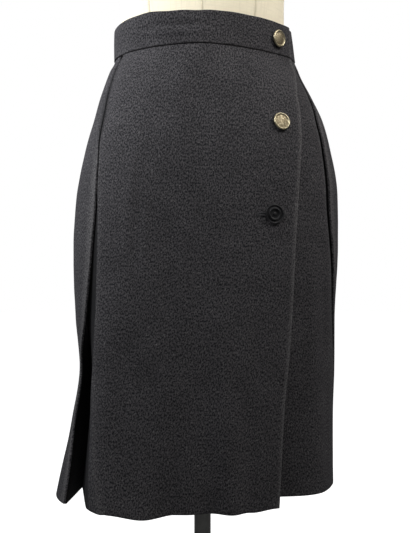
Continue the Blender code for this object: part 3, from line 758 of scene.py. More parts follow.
class Tree:
    """Adds nodes to a material or world. An input that is given another node's output is linked."""

    def __init__(self, owner):
        owner.use_nodes = True
        self.tree = owner.node_tree

    def put(self, sockets, values):
        for name, value in values.items():
            if isinstance(value, bpy.types.NodeSocket):
                self.tree.links.new(value, sockets[name])
            else:
                is_colour = sockets[name].type == "RGBA"
                sockets[name].default_value = (*value, 1.0) if is_colour else value

    def add(self, kind, inputs=None, **settings):
        made = self.tree.nodes.new("ShaderNode" + kind)
        for name, value in settings.items():
            setattr(made, name, value)
        self.put(made.inputs, inputs or {})
        return made

    def use(self, **inputs):
        """Sets the shader's own inputs."""
        named = {name.replace("_", " "): value for name, value in inputs.items()}
        self.put(self.tree.nodes["Principled BSDF"].inputs, named)

    def place(self):
        return self.add("TexCoord").outputs["Object"]

    def weave(self):
        return self.add("UVMap", uv_map="Weave").outputs[0]

    def attribute(self, name):
        return self.add("Attribute", attribute_name=name).outputs["Fac"]

    def work_out(self, operation, first, second=0.0):
        return self.add("Math", {0: first, 1: second}, operation=operation).outputs[0]

    def plus(self, first, second):
        return self.work_out("ADD", first, second)

    def times(self, first, second):
        return self.work_out("MULTIPLY", first, second)

    def between(self, value, low, high, to_low=0.0, to_high=1.0):
        ranged = self.add("MapRange", {
            "Value": value, "From Min": low, "From Max": high, "To Min": to_low, "To Max": to_high,
        }, interpolation_type="SMOOTHSTEP")
        return ranged.outputs["Result"]

    def mapped(self, vector, scale, turn=0.0):
        inputs = {"Vector": vector, "Scale": scale, "Rotation": (0.0, 0.0, turn)}
        return self.add("Mapping", inputs).outputs[0]

    def noise(self, vector, scale, detail=2.0, rough=0.5, stretch=(1, 1, 1)):
        return self.add("TexNoise", {
            "Vector": self.mapped(vector, stretch), "Scale": scale, "Detail": detail,
            "Roughness": rough,
        }).outputs["Fac"]

    def wave(self, vector, scale, distortion, detail, detail_scale, **settings):
        return self.add("TexWave", {
            "Vector": vector, "Scale": scale, "Distortion": distortion, "Detail": detail,
            "Detail Scale": detail_scale,
        }, **settings).outputs["Fac"]

    def blend(self, share, first, second):
        mixed = self.add("Mix", {"Factor": share, "A": first, "B": second}, data_type="RGBA")
        return mixed.outputs["Result"]

    def shade(self, base, by):
        return self.add("VectorMath", {0: base, "Scale": by}, operation="SCALE").outputs[0]

    def bump(self, height, distance, strength=1.0, normal=None):
        inputs = {"Height": height, "Distance": distance, "Strength": strength}
        if normal:
            inputs["Normal"] = normal
        return self.add("Bump", inputs).outputs["Normal"]


def tinted(shade, by):
    return [by * value for value in shade]


def wool(tree, looks):
    """Charcoal melange twill: dark and pale fibres spun together, with stray pale hairs on top."""
    weave, place = tree.weave(), tree.place()
    yarn = tree.noise(weave, 720.0, 3.0, 0.62, (1.0, 0.50, 1.0))
    heather = tree.noise(weave, 500.0, 4.0, 0.7, (1.0, 0.85, 1.0))
    cloudy = tree.noise(place, 26.0, 3.0, 0.6)
    hairs = tree.noise(weave, 900.0, 1.0, 0.5, (0.35, 1.0, 1.0))
    slubs = tree.noise(weave, 380.0, 2.0, 0.6, (1.3, 0.70, 1.0))
    melange = tree.plus(tree.times(yarn, 0.55), tree.times(heather, 0.45))
    base = tree.blend(tree.between(melange, 0.42, 0.60), looks.wool_dark, looks.wool_light)
    base = tree.blend(tree.between(slubs, 0.60, 0.74, 0.0, 0.5), base, looks.wool_fleck)
    base = tree.blend(tree.between(hairs, 0.66, 0.80, 0.0, 0.75), base, looks.wool_fleck)
    base = tree.shade(base, tree.between(cloudy, 0.3, 0.7, 0.90, 1.10))
    # Painted highlight, partly the shine of pressed wool: edges and folds are mixed towards the
    # pale fleck colour
    wear_and_highlight = tree.times(tree.attribute("pressed"), tree.between(heather, 0.35, 0.7, 0.25, 0.9))
    base = tree.blend(tree.times(wear_and_highlight, 0.55), base, looks.wool_fleck)
    # Painted shade: darkened behind pleat folds, along seams and inside the waistband
    painted_shade = tree.times(tree.attribute("painted_shade"), 0.94)
    base = tree.shade(base, tree.work_out("SUBTRACT", 1.0, painted_shade))
    twill = tree.wave(tree.mapped(weave, (1, 1, 1), math.radians(27)), 240.0, 1.6, 2.0, 2.0)
    normal = tree.bump(tree.plus(tree.times(twill, 0.35), melange), 0.00032)
    normal = tree.bump(tree.noise(place, 95.0, 3.0, 0.6), 0.00045, 0.8, normal)
    tree.use(Base_Color=base, Normal=normal, Roughness=tree.between(wear_and_highlight, 0.0, 1.0, 0.96, 0.70),
             Specular_IOR_Level=0.10, Sheen_Weight=0.05, Sheen_Roughness=0.45,
             Sheen_Tint=(0.62, 0.62, 0.68))


def thread(tree, looks):
    """Dark polyester thread with a slight shine along its twist."""
    twist = tree.noise(tree.place(), 2600.0, 1.0)
    tree.use(Base_Color=tree.blend(twist, looks.thread, tinted(looks.thread, 2.4)),
             Roughness=tree.between(twist, 0.2, 0.8, 0.45, 0.65),
             Normal=tree.bump(twist, 0.00008), Sheen_Weight=0.1)


def brass(tree, looks):
    """Aged brass: a bare, brighter rim and crown, with brown tarnish in the hollow between them."""
    place = tree.place()
    x, y, z = tree.add("SeparateXYZ", {0: place}).outputs
    across = tree.work_out("SQRT", tree.plus(tree.times(x, x), tree.times(y, y)))
    clouds = tree.noise(place, 420.0, 5.0, 0.65)
    rim = tree.times(tree.between(across, 0.0084, 0.0094), 0.65)
    bare = tree.plus(rim, tree.between(clouds, 0.38, 0.66, 0.0, 0.6))
    bare = tree.work_out("SUBTRACT", bare, tree.between(z, 0.0026, 0.0030, 1.0, 0.0))
    bare = tree.add("Clamp", {"Value": bare}).outputs[0]
    rings = tree.wave(place, 520.0, 0.8, 1.0, 1.0, wave_type="RINGS", rings_direction="Z")
    normal = tree.bump(tree.noise(place, 1900.0, 3.0, 0.6), 0.00007)
    normal = tree.bump(rings, 0.00003, 0.7, normal)
    tree.use(Base_Color=tree.blend(bare, looks.brass_tarnish, looks.brass_bare), Metallic=0.92,
             Normal=tree.bump(clouds, 0.00016, 0.8, normal),
             Roughness=tree.between(bare, 0.0, 1.0, 0.58, 0.33))


def black(tree, looks):
    """Moulded black plastic with a dull skin and fine scuffs."""
    scuffs = tree.noise(tree.place(), 700.0, 4.0, 0.7, (1.0, 3.0, 1.0))
    base = tree.blend(tree.between(scuffs, 0.5, 0.75), looks.black, tinted(looks.black, 4))
    tree.use(Base_Color=base, Roughness=tree.between(scuffs, 0.3, 0.7, 0.34, 0.55),
             Normal=tree.bump(scuffs, 0.00005), Specular_IOR_Level=0.22)


def linen(tree, looks):
    """Cream linen in plain weave, with thicker slubs here and there, stretched over the form."""
    weave = tree.weave()
    cloth = tree.times(*[
        tree.wave(weave, 210.0, 0.7, 2.0, 3.0, bands_direction=axis) for axis in ("X", "Y")])
    slubs = tree.work_out("MAXIMUM", *[
        tree.noise(weave, 120.0, 2.0, 0.5, stretch)
        for stretch in ((6.0, 0.25, 1.0), (0.25, 6.0, 1.0))])
    tone = tree.plus(tree.times(cloth, 0.35), tree.between(slubs, 0.45, 0.8, 0.0, 0.65))
    base = tree.blend(tone, looks.linen, tinted(looks.linen, 0.84))
    # Painted shade along the seams
    base = tree.blend(tree.times(tree.attribute("pressed"), 0.75), base, looks.linen_seam)
    tree.use(Base_Color=base, Roughness=tree.between(slubs, 0.3, 0.8, 0.82, 0.95),
             Specular_IOR_Level=0.25, Sheen_Weight=0.08,
             Normal=tree.bump(tree.plus(cloth, slubs), 0.00018))


def wood(tree, looks):
    """Turned, stained and waxed wood, with its grain across the cap."""
    place = tree.place()
    bent = tree.noise(place, 18.0, 4.0, 0.55, (0.35, 1.0, 1.0))
    shifted = tree.add("VectorMath", {0: place, 1: bent}, operation="ADD").outputs[0]
    grain = tree.wave(tree.mapped(shifted, (0.12, 1.0, 0.6)), 34.0, 5.0, 4.0, 1.6,
                      bands_direction="Y")
    pores = tree.noise(place, 900.0, 2.0, 0.6, (0.06, 1.0, 1.0))
    mixed = tree.plus(tree.times(grain, 0.75), tree.between(pores, 0.55, 0.75, 0.0, 0.35))
    tree.use(Base_Color=tree.blend(mixed, looks.wood_light, looks.wood_dark),
             Roughness=tree.between(mixed, 0.0, 1.0, 0.34, 0.52),
             Coat_Weight=0.15, Coat_Roughness=0.3, Normal=tree.bump(pores, 0.00006))


def iron(tree, looks):
    """Dark enamelled metal, with a fine orange peel and a few dull, rubbed places."""
    place = tree.place()
    wear_and_highlight = tree.noise(place, 34.0, 5.0, 0.7, (1.0, 1.0, 0.5))
    dust = tree.between(tree.noise(place, 1500.0, 2.0, 0.6), 0.70, 0.80, 0.0, 0.3)
    base = tree.blend(tree.between(wear_and_highlight, 0.35, 0.75), looks.iron, tinted(looks.iron, 1.7))
    tree.use(Base_Color=tree.blend(dust, base, tinted(looks.iron, 5)), Metallic=0.75,
             Roughness=tree.between(wear_and_highlight, 0.3, 0.75, 0.24, 0.42),
             Normal=tree.bump(tree.noise(place, 520.0, 2.0, 0.5), 0.00004))


FINISHES = {
    "charcoal_wool": wool,
    "charcoal_thread": thread,
    "aged_brass_turned": brass,
    "black_moulded": black,
    "cream_linen": linen,
    "turned_stained_wood": wood,
    "dark_enamel": iron,
}


def finish_of(name, context):
    """The material of that name, made the first time that a piece asks for it."""
    found = bpy.data.materials.get(name)
    if not found:
        found = bpy.data.materials.new(name)
        FINISHES[name](Tree(found), context.scene.wrap_skirt_looks)
    return found


# --- What a user may change


def length_property(name, text, default):
    return bpy.props.FloatProperty(
        name=name, description=text, default=default, min=default / 10, max=default * 3,
        unit="LENGTH", precision=5)


def colour_property(name, text, default):
    return bpy.props.FloatVectorProperty(
        name=name, description=text, default=default, size=3, min=0.0, max=1.0, subtype="COLOR")


class WrapSkirtSizes(bpy.types.PropertyGroup):
    """Sizes of the cloth and the sewing."""

    cloth: length_property("Cloth", "How thick the panels' wool is", CLOTH)
    leaf: length_property("Waistband cloth", "How thick each leaf of the waistband is", BAND_LEAF)
    thread: length_property("Thread", "Radius of the buttonholes' thread", THREAD)
    creases: bpy.props.FloatProperty(
        name="Creases", description="How deep the creases are, where 1 is as photographed",
        default=1.0, min=0.0, max=1.5, subtype="FACTOR")


class WrapSkirtLooks(bpy.types.PropertyGroup):
    """Colours of the skirt, its buttons and the dress form."""

    wool_dark: colour_property("Wool, dark", "The wool's darkest fibres", (0.0082, 0.0080, 0.0098))
    wool_light: colour_property("Wool, light", "The wool's pale fibres", (0.0660, 0.0635, 0.0665))
    # also the colour of the wool's painted highlight along edges and folds
    wool_fleck: colour_property("Wool, flecks", "The pale hairs in the wool", (0.165, 0.160, 0.160))
    thread: colour_property("Thread", "The buttonholes' thread", (0.010, 0.010, 0.012))
    brass_bare: colour_property("Brass", "The buttons where they are bare", (0.39, 0.345, 0.235))
    brass_tarnish: colour_property("Tarnish", "The buttons' tarnish", (0.13, 0.105, 0.065))
    black: colour_property("Black", "The button without its cap", (0.006, 0.006, 0.007))
    linen: colour_property("Linen", "The dress form's cover", (0.80, 0.73, 0.56))
    linen_seam: colour_property("Linen seams", "The shade in its seams", (0.50, 0.45, 0.33))
    wood_light: colour_property("Wood, light", "The neck cap's lighter grain", (0.30, 0.17, 0.08))
    wood_dark: colour_property("Wood, dark", "The neck cap's darker grain", (0.14, 0.07, 0.03))
    iron: colour_property("Metal", "The stand's dark enamel", (0.085, 0.085, 0.082))


# --- The pieces


def on_body(made, slot, *nodes):
    """The piece rides on the one body and stands for those nodes. Its slot is not used."""
    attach(made, "root")
    if nodes:
        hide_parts(*nodes)


def slit_point(button, share, shift, out):
    """A point at a share of a buttonhole's length, shifted down from its middle line and out."""
    drop = button.drop + shift
    radius = button.cloth.radius(drop, button.angle)
    first = button.angle - math.degrees(button.hole_right / radius)
    last = button.angle + math.degrees(button.hole_left / radius)
    return at_drop(laid(button.cloth, drop, first + (last - first) * share, out), drop)


def apply_modifiers(made, *cutters):
    """The mesh as its modifiers leave it, and the cutters gone."""
    depsgraph = bpy.context.evaluated_depsgraph_get()
    mesh = bpy.data.meshes.new_from_object(made.evaluated_get(depsgraph), depsgraph=depsgraph)
    mesh.name = made.name
    made.modifiers.clear()
    made.data = mesh
    for cutter in cutters:
        bpy.data.objects.remove(cutter, do_unlink=True)


def cut_buttonholes(made, cloth):
    """The slits of a cloth's buttonholes, cut through it."""
    cutters = []
    for button in [button for button in BUTTONS if button.cloth == cloth]:
        bm = bmesh.new()
        rows = []
        for shift, out in ((-1, -1), (-1, 1), (1, 1), (1, -1)):
            rows.append([
                bm.verts.new(slit_point(
                    button, share, shift * SLIT_HEIGHT / 2, out * SLIT_DEPTH * cloth.half))
                for share in spread(0.0, 1.0, SLIT_POINTS)
            ])
        for pair in zip(rows, rows[1:] + rows[:1]):
            grid_faces(bm, pair)
        for end in (0, -1):
            bm.faces.new([row[end] for row in rows])
        bmesh.ops.recalc_face_normals(bm, faces=bm.faces)
        cutters.append(mesh_object(button.name + "_slit", bm))
        modify(made, "Buttonhole", "BOOLEAN", object=cutters[-1], operation="DIFFERENCE")
    apply_modifiers(made, *cutters)


def band_grid(sizes):
    """The waistband's points. Its strip is folded over at the top, so that its rows go up the face,
    over the fold and down behind."""
    first, last = row_at(WRAP, BAND_DEPTH).edge, BAND_UNDERLAP_END - 360
    count = round((first - last) / BAND_STEP) + 1
    rows = []
    face = [(drop, 1.0, 0.0) for drop in spread(BAND_DEPTH, BAND_SPLIT, BAND_FACE_ROWS)]
    over = [(BAND_SPLIT * (1 - math.sin(turn)), math.cos(turn), 0.0)
            for turn in spread(0.0, math.pi, BAND_FOLD_ROWS)[1:-1]]
    behind = [(drop, -1.0, 1.0) for drop in spread(BAND_SPLIT, BAND_DEPTH - 0.0005, BAND_BACK_ROWS)]
    for drop, side, hidden in face + over + behind:
        row = []
        for angle in spread(first, last, count):
            from_end = min(first - angle, angle - last) * DEGREE_ARC
            shut = 1 - 0.5 * fade(from_end, BAND_SHUT)
            crease = crease_out(BAND_CREASES, drop, angle, sizes.creases) * (1 - 0.75 * hidden)
            on = plan_point(outline_radius, drop, angle, 0.0)
            ripple = uneven((on.x, on.y, drop), sizes.creases) * 0.5
            bulge = BAND_BULGE * math.sin(math.pi * min(1.0, drop / BAND_DEPTH)) * (side > 0)
            out = band_out(angle) + side * BAND_SPLIT * shut + crease + ripple + bulge
            point = plan_point(outline_radius, drop, angle, out)
            lift = BAND_RIPPLE * noise.noise(Vector((angle * 0.06, 5.0, 1.0)))
            sag = sum(low * fade(angle - place, reach) for place, reach, low in BAND_SAGS)
            lift -= sag * max(0.0, 1 - drop / BAND_DEPTH) ** 0.7
            row.append(at_drop(point, drop, lift))
        rows.append(row)
    return rows


def band_painted_light(i, j):
    """The waistband is painted lighter along its top fold and at its closing end, as pressed shine
    and painted highlight.
    """
    top = max(0.0, 1 - abs(i - BAND_FACE_ROWS - 3) / 4.0)
    return max(top * 0.7, max(0.0, 1 - j / 2.0))


def band_shade(i, j):
    """Painted shade: only on its inner leaf and along the seam at its lower edge."""
    return 1.0 if i > BAND_FACE_ROWS + 8 else max(0.0, 0.6 - i)


class WRAPSKIRT_OT_panels(bpy.types.Operator):
    """Makes the two fronts and the back, which hang from the waistband"""

    bl_idname = "wrapskirt.panels"
    bl_label = "Panels"

    def execute(self, context):
        sizes = context.scene.wrap_skirt_sizes
        wool = finish_of("charcoal_wool", context)
        for panel in PANELS:
            rows, walls = panel_grid(panel, sizes.creases)
            # painted highlight, partly pressed shine, and painted shade at each point
            pressed = painted_edge_light(len(rows[0]), walls, panel.pressed, panel.dark)
            painted_shade = pleat_shade(len(rows[0]), walls, panel.dark)
            tuck = tuck_rows(panel, rows, walls)
            made = cloth_object(panel.name + "_wool", rows, sizes.cloth, wool, pressed, painted_shade, tuck)
            if panel.cloth == OVERLAP:
                cut_buttonholes(made, OVERLAP)
            round_edges(made, PANEL_EDGE, 2, CUT_EDGE)
            on_body(made, "wool", panel.name)
            width, length, area = panel.cut
        return {"FINISHED"}


class WRAPSKIRT_OT_waistband(bpy.types.Operator):
    """Makes the waistband, a folded strip that laps over itself"""

    bl_idname = "wrapskirt.waistband"
    bl_label = "Waistband"

    def execute(self, context):
        sizes = context.scene.wrap_skirt_sizes
        wool = finish_of("charcoal_wool", context)
        made = cloth_object(
            "waistband_wool", band_grid(sizes), sizes.leaf, wool, band_painted_light, band_shade)
        cut_buttonholes(made, BAND)
        round_edges(made, BAND_EDGE, 2, CUT_EDGE)
        on_body(made, "wool", "waistband")
        return {"FINISHED"}


class WRAPSKIRT_OT_buttonholes(bpy.types.Operator):
    """Sews the thread round the buttonholes"""

    bl_idname = "wrapskirt.buttonholes"
    bl_label = "Buttonholes"

    def execute(self, context):
        sizes = context.scene.wrap_skirt_sizes
        thread = finish_of("charcoal_thread", context)
        for button in BUTTONS:
            lift = button.cloth.half + sizes.thread * 0.8
            curve = bpy.data.curves.new(button.name + "_buttonhole", "CURVE")
            curve.dimensions = "3D"
            curve.bevel_depth = sizes.thread
            curve.bevel_resolution = 1
            length = button.hole_right + button.hole_left
            count = round(length / STITCH_PITCH)
            at = partial(slit_point, button)
            for side in (-1, 1):
                for k in range(count + 1):
                    share = k / count
                    reach = STITCH * (1 + 0.12 * noise.noise(Vector((k * 0.7, side, 2.0))))
                    inner, outer = SLIT_HEIGHT / 2, SLIT_HEIGHT / 2 + reach
                    self.stitch(curve, [
                        at(share, side * inner * 0.8, lift * 0.3),
                        at(share, side * inner, lift),
                        at(share, side * (inner + outer) / 2, lift + sizes.thread * 0.5),
                        at(share, side * outer, lift - sizes.thread),
                    ])
            for end in (0.0, 1.0):
                for turn in spread(-math.pi / 2, math.pi / 2, END_STITCHES):
                    out = (SLIT_HEIGHT / 2 + STITCH) * math.cos(turn) / length
                    share = end - out if end == 0.0 else end + out
                    self.stitch(curve, [
                        at(end, SLIT_HEIGHT / 2 * math.sin(turn), lift),
                        at(share, (SLIT_HEIGHT / 2 + STITCH) * math.sin(turn), lift - sizes.thread),
                    ])
            curve.materials.append(thread)
            on_body(linked(curve.name, curve), "wool")
        return {"FINISHED"}

    @staticmethod
    def stitch(curve, points):
        spline = curve.splines.new("POLY")
        spline.points.add(len(points) - 1)
        for made, point in zip(spline.points, points):
            made.co = (*point, 1.0)


# Half a button's section as (radius, height) points: what is round, and what joins it to the shank
CAPPED = ((
    (0.0, 0.0041), (0.0035, 0.0039), (0.0066, 0.0034), (0.0080, 0.0031), (0.0088, 0.0033),
    (0.0094, 0.0040), (0.0100, 0.0043), (0.0107, 0.0041), (0.0113, 0.0035), (0.0115, 0.0029),
    (0.0115, 0.0023),
), 4, [(0.0108, 0.0014), (0.0098, 0.0006)])
BARE = ((
    (0.0, 0.0026), (0.0014, 0.0025), (0.0022, 0.0017), (0.0048, 0.0016), (0.0056, 0.0020),
    (0.0062, 0.0033), (0.0070, 0.0036), (0.0078, 0.0032), (0.0084, 0.0019), (0.0098, 0.0018),
    (0.0106, 0.0026), (0.0112, 0.0030), (0.0118, 0.0027), (0.0119, 0.0020), (0.0104, 0.0006),
), 3, [])


def button_profile(crown, steps, under, shank_end):
    shank = [(0.0050, 0.0), (0.0012, 0.0), (0.0012, shank_end), (0.0, shank_end)]
    return smooth_profile(crown, steps) + under + shank


class WRAPSKIRT_OT_buttons(bpy.types.Operator):
    """Makes the three buttons, the lowest of which has lost its metal cap"""

    bl_idname = "wrapskirt.buttons"
    bl_label = "Buttons"

    def execute(self, context):
        brass = finish_of("aged_brass_turned", context)
        black = finish_of("black_moulded", context)
        for button in BUTTONS:
            drop, cloth = button.drop, button.cloth
            out = cloth.wall / 2 + BUTTON_STAND_OFF
            at, higher, lower = (
                laid(cloth, drop + shift, button.angle, out)
                for shift in (0.0, -BUTTON_RADIUS, BUTTON_RADIUS))
            facing = (at - plan_point(cloth.radius, drop, button.angle)).normalized()
            lean = (higher - lower).dot(facing) / (2 * BUTTON_RADIUS)
            normal = Vector((*facing, -lean)).normalized()
            shape, finish = (CAPPED, brass) if button.capped else (BARE, black)
            profile = button_profile(*shape, SEAM_GAP - BUTTON_STAND_OFF - cloth.pitch)
            made = turned(button.name + "_turned", profile, BUTTON_SIDES, finish, BUTTON_EDGE)
            made.location = at_drop(at, drop)
            made.rotation_euler = normal.to_track_quat("Z", "Y").to_euler()
            on_body(made, "aged_brass" if button.capped else "black_base", button.name)
        return {"FINISHED"}


# The torso's seams by height: plan angles of the princess seams in front, of the side seams and of
# the princess seams behind
Seams = namedtuple("Seams", "height front side back")
SEAMS = table(
    Seams,
    (0.765, 40, 92, 142), (0.9, 44, 92, 142), (1.03, 51, 92, 140), (1.15, 47, 92, 137),
    (1.255, 43, 92, 133), (1.345, 50, 92, 128), (1.4, 66, 92, 116), (1.43, 74, 92, 108),
    (1.485, 78, 92, 104),
)
SEAM_SHAPE = ((-0.0030, 0.0003, 0.0), (-0.0014, 0.0001, 0.1), (0.0, -0.0010, 1.0),
              (0.0014, 0.0001, 0.1), (0.0030, 0.0003, 0.0))  # beside the seam, out, and its shade
SEAM_MARGIN = 0.0055
TORSO_GORE_COLUMNS = 15
TORSO_LOWER_ROWS = 44
TORSO_UPPER_ROWS = 96
TORSO_CHEST_ROW = 60  # whose length sets the weave's width


def torso_ring(height):
    """The torso's reach at a height: to the side, the front and the back, and how square it is."""
    drop = WAIST_HEIGHT - height
    if drop <= 0:
        torso = row_at(TORSO, -drop)
        return torso.side, torso.front, torso.back, torso.square
    section, waist = row_at(SECTIONS, drop), TORSO[0]
    side = max(waist.side, min(section.left, section.right) - FORM_CLEARANCE)
    front = max(waist.front, section.front - FORM_CLEARANCE)
    back = max(waist.back, section.back - FORM_CLEARANCE)
    return side, front, back, section.square_left


def torso_grid():
    """Points round the torso, with five columns across each seam, and the shade at each."""
    rows, shades = [], []
    bottom = WAIST_HEIGHT - FORM_BOTTOM
    heights = spread(bottom, WAIST_HEIGHT, TORSO_LOWER_ROWS)[:-1]
    heights += spread(WAIST_HEIGHT, WAIST_HEIGHT + TORSO[-1].rise, TORSO_UPPER_ROWS)
    for height in heights:
        side, front, back, square = torso_ring(height)
        seams = row_at(SEAMS, height)
        turns = [0.0, seams.front, seams.side, seams.back, 180.0]
        turns += [360 - turn for turn in reversed(turns[1:-1])]
        columns = []
        for turn, following in zip(turns, turns[1:] + [360.0]):
            degree = math.radians(squared_radius(turn, side, front, square))
            columns += [(turn + beside / degree, out, shade) for beside, out, shade in SEAM_SHAPE]
            first, last = turn + SEAM_MARGIN / degree, following - SEAM_MARGIN / degree
            columns += [(angle, 0.0, 0.0) for angle in spread(first, last, TORSO_GORE_COLUMNS)]
        row, shade_row = [], []
        for angle, out, shade in columns:
            along = front if math.cos(math.radians(angle)) >= 0 else back
            pucker = 1 + 0.5 * noise.noise(Vector((height * 160, turn, 7.0)))
            radius = squared_radius(angle, side, along, square) + out * pucker
            turn_by = math.radians(angle)
            row.append(Vector((radius * math.sin(turn_by), -radius * math.cos(turn_by), height)))
            shade_row.append(shade)
        rows.append(row + row[:1])
        shades.append(shade_row + shade_row[:1])
    return rows, shades


class WRAPSKIRT_OT_torso(bpy.types.Operator):
    """Makes the dress form's torso, covered in linen with its seams"""

    bl_idname = "wrapskirt.torso"
    bl_label = "Torso"

    def execute(self, context):
        rows, shades = torso_grid()
        bm = bmesh.new()
        uv = bm.loops.layers.uv.new("Weave")
        press = bm.verts.layers.float.new("pressed")
        grid = []
        for row, shade in zip(rows, shades):
            line = [bm.verts.new(point) for point in row[:-1]]
            # the shade painted along each seam
            for vert, value in zip(line, shade):
                vert[press] = value
            grid.append(line)
        chest = rows[TORSO_CHEST_ROW]
        step = sum((b - a).length for a, b in zip(chest, chest[1:])) / (len(chest) - 1)
        for i in range(len(grid) - 1):
            for j in range(len(grid[0])):
                after = (j + 1) % len(grid[0])
                upper, lower = grid[i], grid[i + 1]
                face = bm.faces.new((upper[j], upper[after], lower[after], lower[j]))
                corners = ((i, j), (i, j + 1), (i + 1, j + 1), (i + 1, j))
                for loop, (a, b) in zip(face.loops, corners):
                    loop[uv].uv = (b * step, rows[a][0].z)
        for ends in (grid[0][::-1], grid[-1]):
            bm.faces.new(ends)
        made = mesh_object("torso_linen", bm, finish_of("cream_linen", context))
        made.data.shade_smooth()
        round_edges(made, 0.0012, 2, 60)
        on_body(made, "linen", "form_torso")
        return {"FINISHED"}


CAP_SIDES = 96
FLANGE_SIDES = 96
BASE_SIDES = 160
POLE_SIDES = 64
POLE_RINGS = 12


class WRAPSKIRT_OT_stand(bpy.types.Operator):
    """Makes the neck cap, the flange under the torso, the pole and the base"""

    bl_idname = "wrapskirt.stand"
    bl_label = "Stand"

    def execute(self, context):
        wood, iron = finish_of("turned_stained_wood", context), finish_of("dark_enamel", context)
        cap = turned("neck_cap_turned", smooth_profile([
            (0.0, 0.0300), (0.0045, 0.0295), (0.0085, 0.0275), (0.0108, 0.0232), (0.0095, 0.0190),
            (0.0078, 0.0168), (0.0088, 0.0148), (0.0180, 0.0140), (0.0400, 0.0122),
            (NECK_RADIUS - 0.004, 0.0098), (NECK_RADIUS - 0.0008, 0.0078), (NECK_RADIUS, 0.0056),
            (NECK_RADIUS, 0.0008),
        ], 3) + [(NECK_RADIUS - 0.0008, 0.0), (0.0, 0.0)], CAP_SIDES, wood)
        cap.location.z = WAIST_HEIGHT + TORSO[-1].rise + SEAM_GAP
        on_body(cap, "turned_wood", "form_neck_cap")

        form_bottom = WAIST_HEIGHT - FORM_BOTTOM
        bore = POLE_RADIUS + POLE_FIT
        flange = turned("flange_turned", [
            (0.0, -SEAM_GAP), (FLANGE_RADIUS, -SEAM_GAP), (FLANGE_RADIUS, -0.0060),
            (0.0300, -0.0072), (0.0220, -0.0084), (SOCKET_RADIUS, -0.0120),
            (SOCKET_RADIUS, -FLANGE_DEPTH), (bore, -FLANGE_DEPTH),
            (bore, SOCKET_DEPTH - FLANGE_DEPTH), (0.0, SOCKET_DEPTH - FLANGE_DEPTH),
        ], FLANGE_SIDES, iron)
        flange.location.z = form_bottom
        on_body(flange, "dark_iron", "form_flange")

        top = BASE_THICKNESS
        base = turned("base_turned", [
            (0.0, top), (bore, top), (bore, top + SOCKET_DEPTH),
            (SOCKET_RADIUS, top + SOCKET_DEPTH), (SOCKET_RADIUS + 0.0008, top + 0.014),
            (SOCKET_RADIUS + 0.0030, top + 0.0070),
            (0.0290, top + 0.0036), (0.0400, top + 0.0020), (0.0800, top + 0.0010),
            (BASE_RADIUS - 0.0200, top), (BASE_RADIUS - 0.0030, top - 0.0010),
            (BASE_RADIUS - 0.0006, top - 0.0028), (BASE_RADIUS, top - 0.0050),
            (BASE_RADIUS, 0.0), (0.0, 0.0),
        ], BASE_SIDES, iron)
        on_body(base, "dark_iron", "form_base")

        low = top + SEAM_GAP
        high = form_bottom - FLANGE_DEPTH + SOCKET_DEPTH - SEAM_GAP
        rings = [(POLE_RADIUS, height) for height in spread(high, low, POLE_RINGS)]
        pole = turned("pole_turned", [(0.0, high), *rings, (0.0, low)], POLE_SIDES, iron)
        on_body(pole, "dark_iron", "form_pole")
        return {"FINISHED"}


CAMERA_PLACE = (0.0, -1.03, 0.716)
FRAME_SIDE = 533  # pixels
CAMERA_SHIFT = (2.5, -8.5)  # pixels to the right and up
FLOOR_RADIUS = 9.0

# Lights: where each one is, where it points, its width, its power and its tint
LIGHTS = (
    ("near", (-0.62, -0.03, 1.15), (-0.10, 0.0, 0.90), 0.3, 4.6, (0.95, 0.97, 1.0)),
    ("key", (-0.55, -0.45, 1.35), (0.0, 0.0, 0.95), 0.4, 5.4, (0.97, 0.98, 1.0)),
    ("top", (0.15, -0.60, 1.50), (0.0, 0.0, 1.00), 0.4, 2.6, (1.0, 0.99, 0.97)),
    ("high", (0.55, -0.35, 1.55), (0.0, 0.0, 1.05), 0.4, 0.9, (1.0, 0.97, 0.93)),
    ("right", (1.00, -0.45, 1.70), (0.0, 0.0, 1.00), 0.7, 12.0, (1.0, 0.97, 0.94)),
    ("front", (0.0, -2.20, 1.20), (0.0, 0.0, 0.80), 1.0, 1.7, (1.0, 1.0, 1.0)),
    ("back", (0.40, 1.90, 2.20), (0.0, 0.0, 0.90), 1.4, 12.0, (1.0, 1.0, 1.0)),
)


def area_light(name, place, target, size, power, tint):
    data = bpy.data.lights.new(name, "AREA")
    data.shape = "DISK"
    data.size = size
    data.energy = power
    data.color = tint
    made = linked(name, data)
    made.location = place
    made.rotation_euler = (Vector(target) - Vector(place)).to_track_quat("-Z", "Y").to_euler()
    made.visible_camera = False


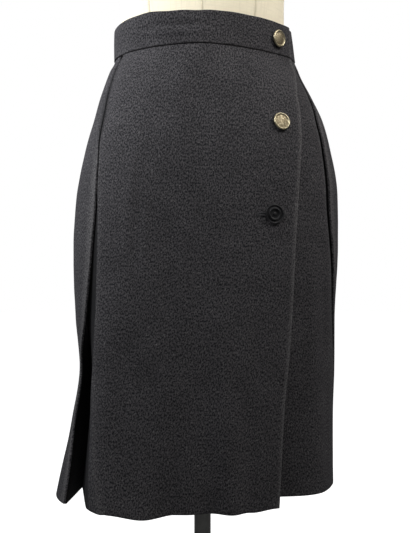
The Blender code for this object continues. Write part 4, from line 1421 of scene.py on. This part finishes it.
class WRAPSKIRT_OT_stage(bpy.types.Operator):
    """Sets the pale floor, the soft studio light and the camera"""

    bl_idname = "wrapskirt.stage"
    bl_label = "Stage"

    def execute(self, context):
        scene = context.scene
        bm = bmesh.new()
        bmesh.ops.create_circle(bm, cap_ends=True, segments=96, radius=FLOOR_RADIUS)
        paint = bpy.data.materials.new("studio_floor")
        tree = Tree(paint)
        seen = tree.add("LightPath").outputs["Is Camera Ray"]
        place = tree.place()
        away = tree.add("VectorMath", {0: place}, operation="LENGTH").outputs["Value"]
        # Painted light: the floor glows white only to the camera, less within 0.85 m of the stand
        # so real shadows show there
        tree.use(
            Base_Color=tree.blend(tree.noise(place, 60.0), (0.49, 0.49, 0.49), (0.51, 0.51, 0.51)),
            Roughness=0.9, Specular_IOR_Level=0.1, Emission_Color=(1.0, 1.0, 1.0),
            Emission_Strength=tree.times(seen, tree.between(away, 0.15, 0.85, 0.70, 1.0)))
        floor = mesh_object("floor", bm, paint)

        world = bpy.data.worlds.new("studio")
        scene.world = world
        tree = Tree(world)
        tree.tree.nodes.clear()
        seen = tree.add("LightPath").outputs["Is Camera Ray"]
        soft = tree.add("Background", {"Color": (0.95, 0.97, 1.0), "Strength": 0.05}).outputs[0]
        clear = tree.add("Background", {"Color": (1.0, 1.0, 1.0), "Strength": 1.0}).outputs[0]
        mixed = tree.add("MixShader", {0: seen, 1: soft, 2: clear}).outputs[0]
        tree.add("OutputWorld", {"Surface": mixed})

        for light in LIGHTS:
            area_light(*light)

        data = bpy.data.cameras.new("camera")
        data.sensor_width = 36.0
        data.lens = 50.0
        data.shift_x, data.shift_y = (shift / FRAME_SIDE for shift in CAMERA_SHIFT)
        data.clip_start = 0.05
        camera = linked("camera", data)
        camera.location = CAMERA_PLACE
        camera.rotation_euler = (math.radians(90), 0.0, 0.0)
        scene.camera = camera
        scene.view_settings.view_transform = "Standard"
        return {"FINISHED"}


OPERATORS = (
    WRAPSKIRT_OT_stage,
    WRAPSKIRT_OT_panels,
    WRAPSKIRT_OT_waistband,
    WRAPSKIRT_OT_buttonholes,
    WRAPSKIRT_OT_buttons,
    WRAPSKIRT_OT_torso,
    WRAPSKIRT_OT_stand,
)


class WRAPSKIRT_PT_panel(bpy.types.Panel):
    """The sidebar's list of pieces, sizes and colours"""

    bl_idname = "WRAPSKIRT_PT_panel"
    bl_label = "Wrap skirt"
    bl_space_type = "VIEW_3D"
    bl_region_type = "UI"
    bl_category = "Wrap skirt"

    def draw(self, context):
        for operator in OPERATORS:
            self.layout.operator(operator.bl_idname)
        for group in (context.scene.wrap_skirt_sizes, context.scene.wrap_skirt_looks):
            for name in group.__annotations__:
                self.layout.prop(group, name)


CLASSES = (WrapSkirtSizes, WrapSkirtLooks, *OPERATORS, WRAPSKIRT_PT_panel)


def register():
    for made in CLASSES:
        bpy.utils.register_class(made)
    bpy.types.Scene.wrap_skirt_sizes = bpy.props.PointerProperty(type=WrapSkirtSizes)
    bpy.types.Scene.wrap_skirt_looks = bpy.props.PointerProperty(type=WrapSkirtLooks)


def unregister():
    del bpy.types.Scene.wrap_skirt_looks
    del bpy.types.Scene.wrap_skirt_sizes
    for made in reversed(CLASSES):
        bpy.utils.unregister_class(made)


def main():
    register()
    for operator in OPERATORS:
        group, name = operator.bl_idname.split(".")
        getattr(getattr(bpy.ops, group), name)()


if __name__ == "__main__":
    main()
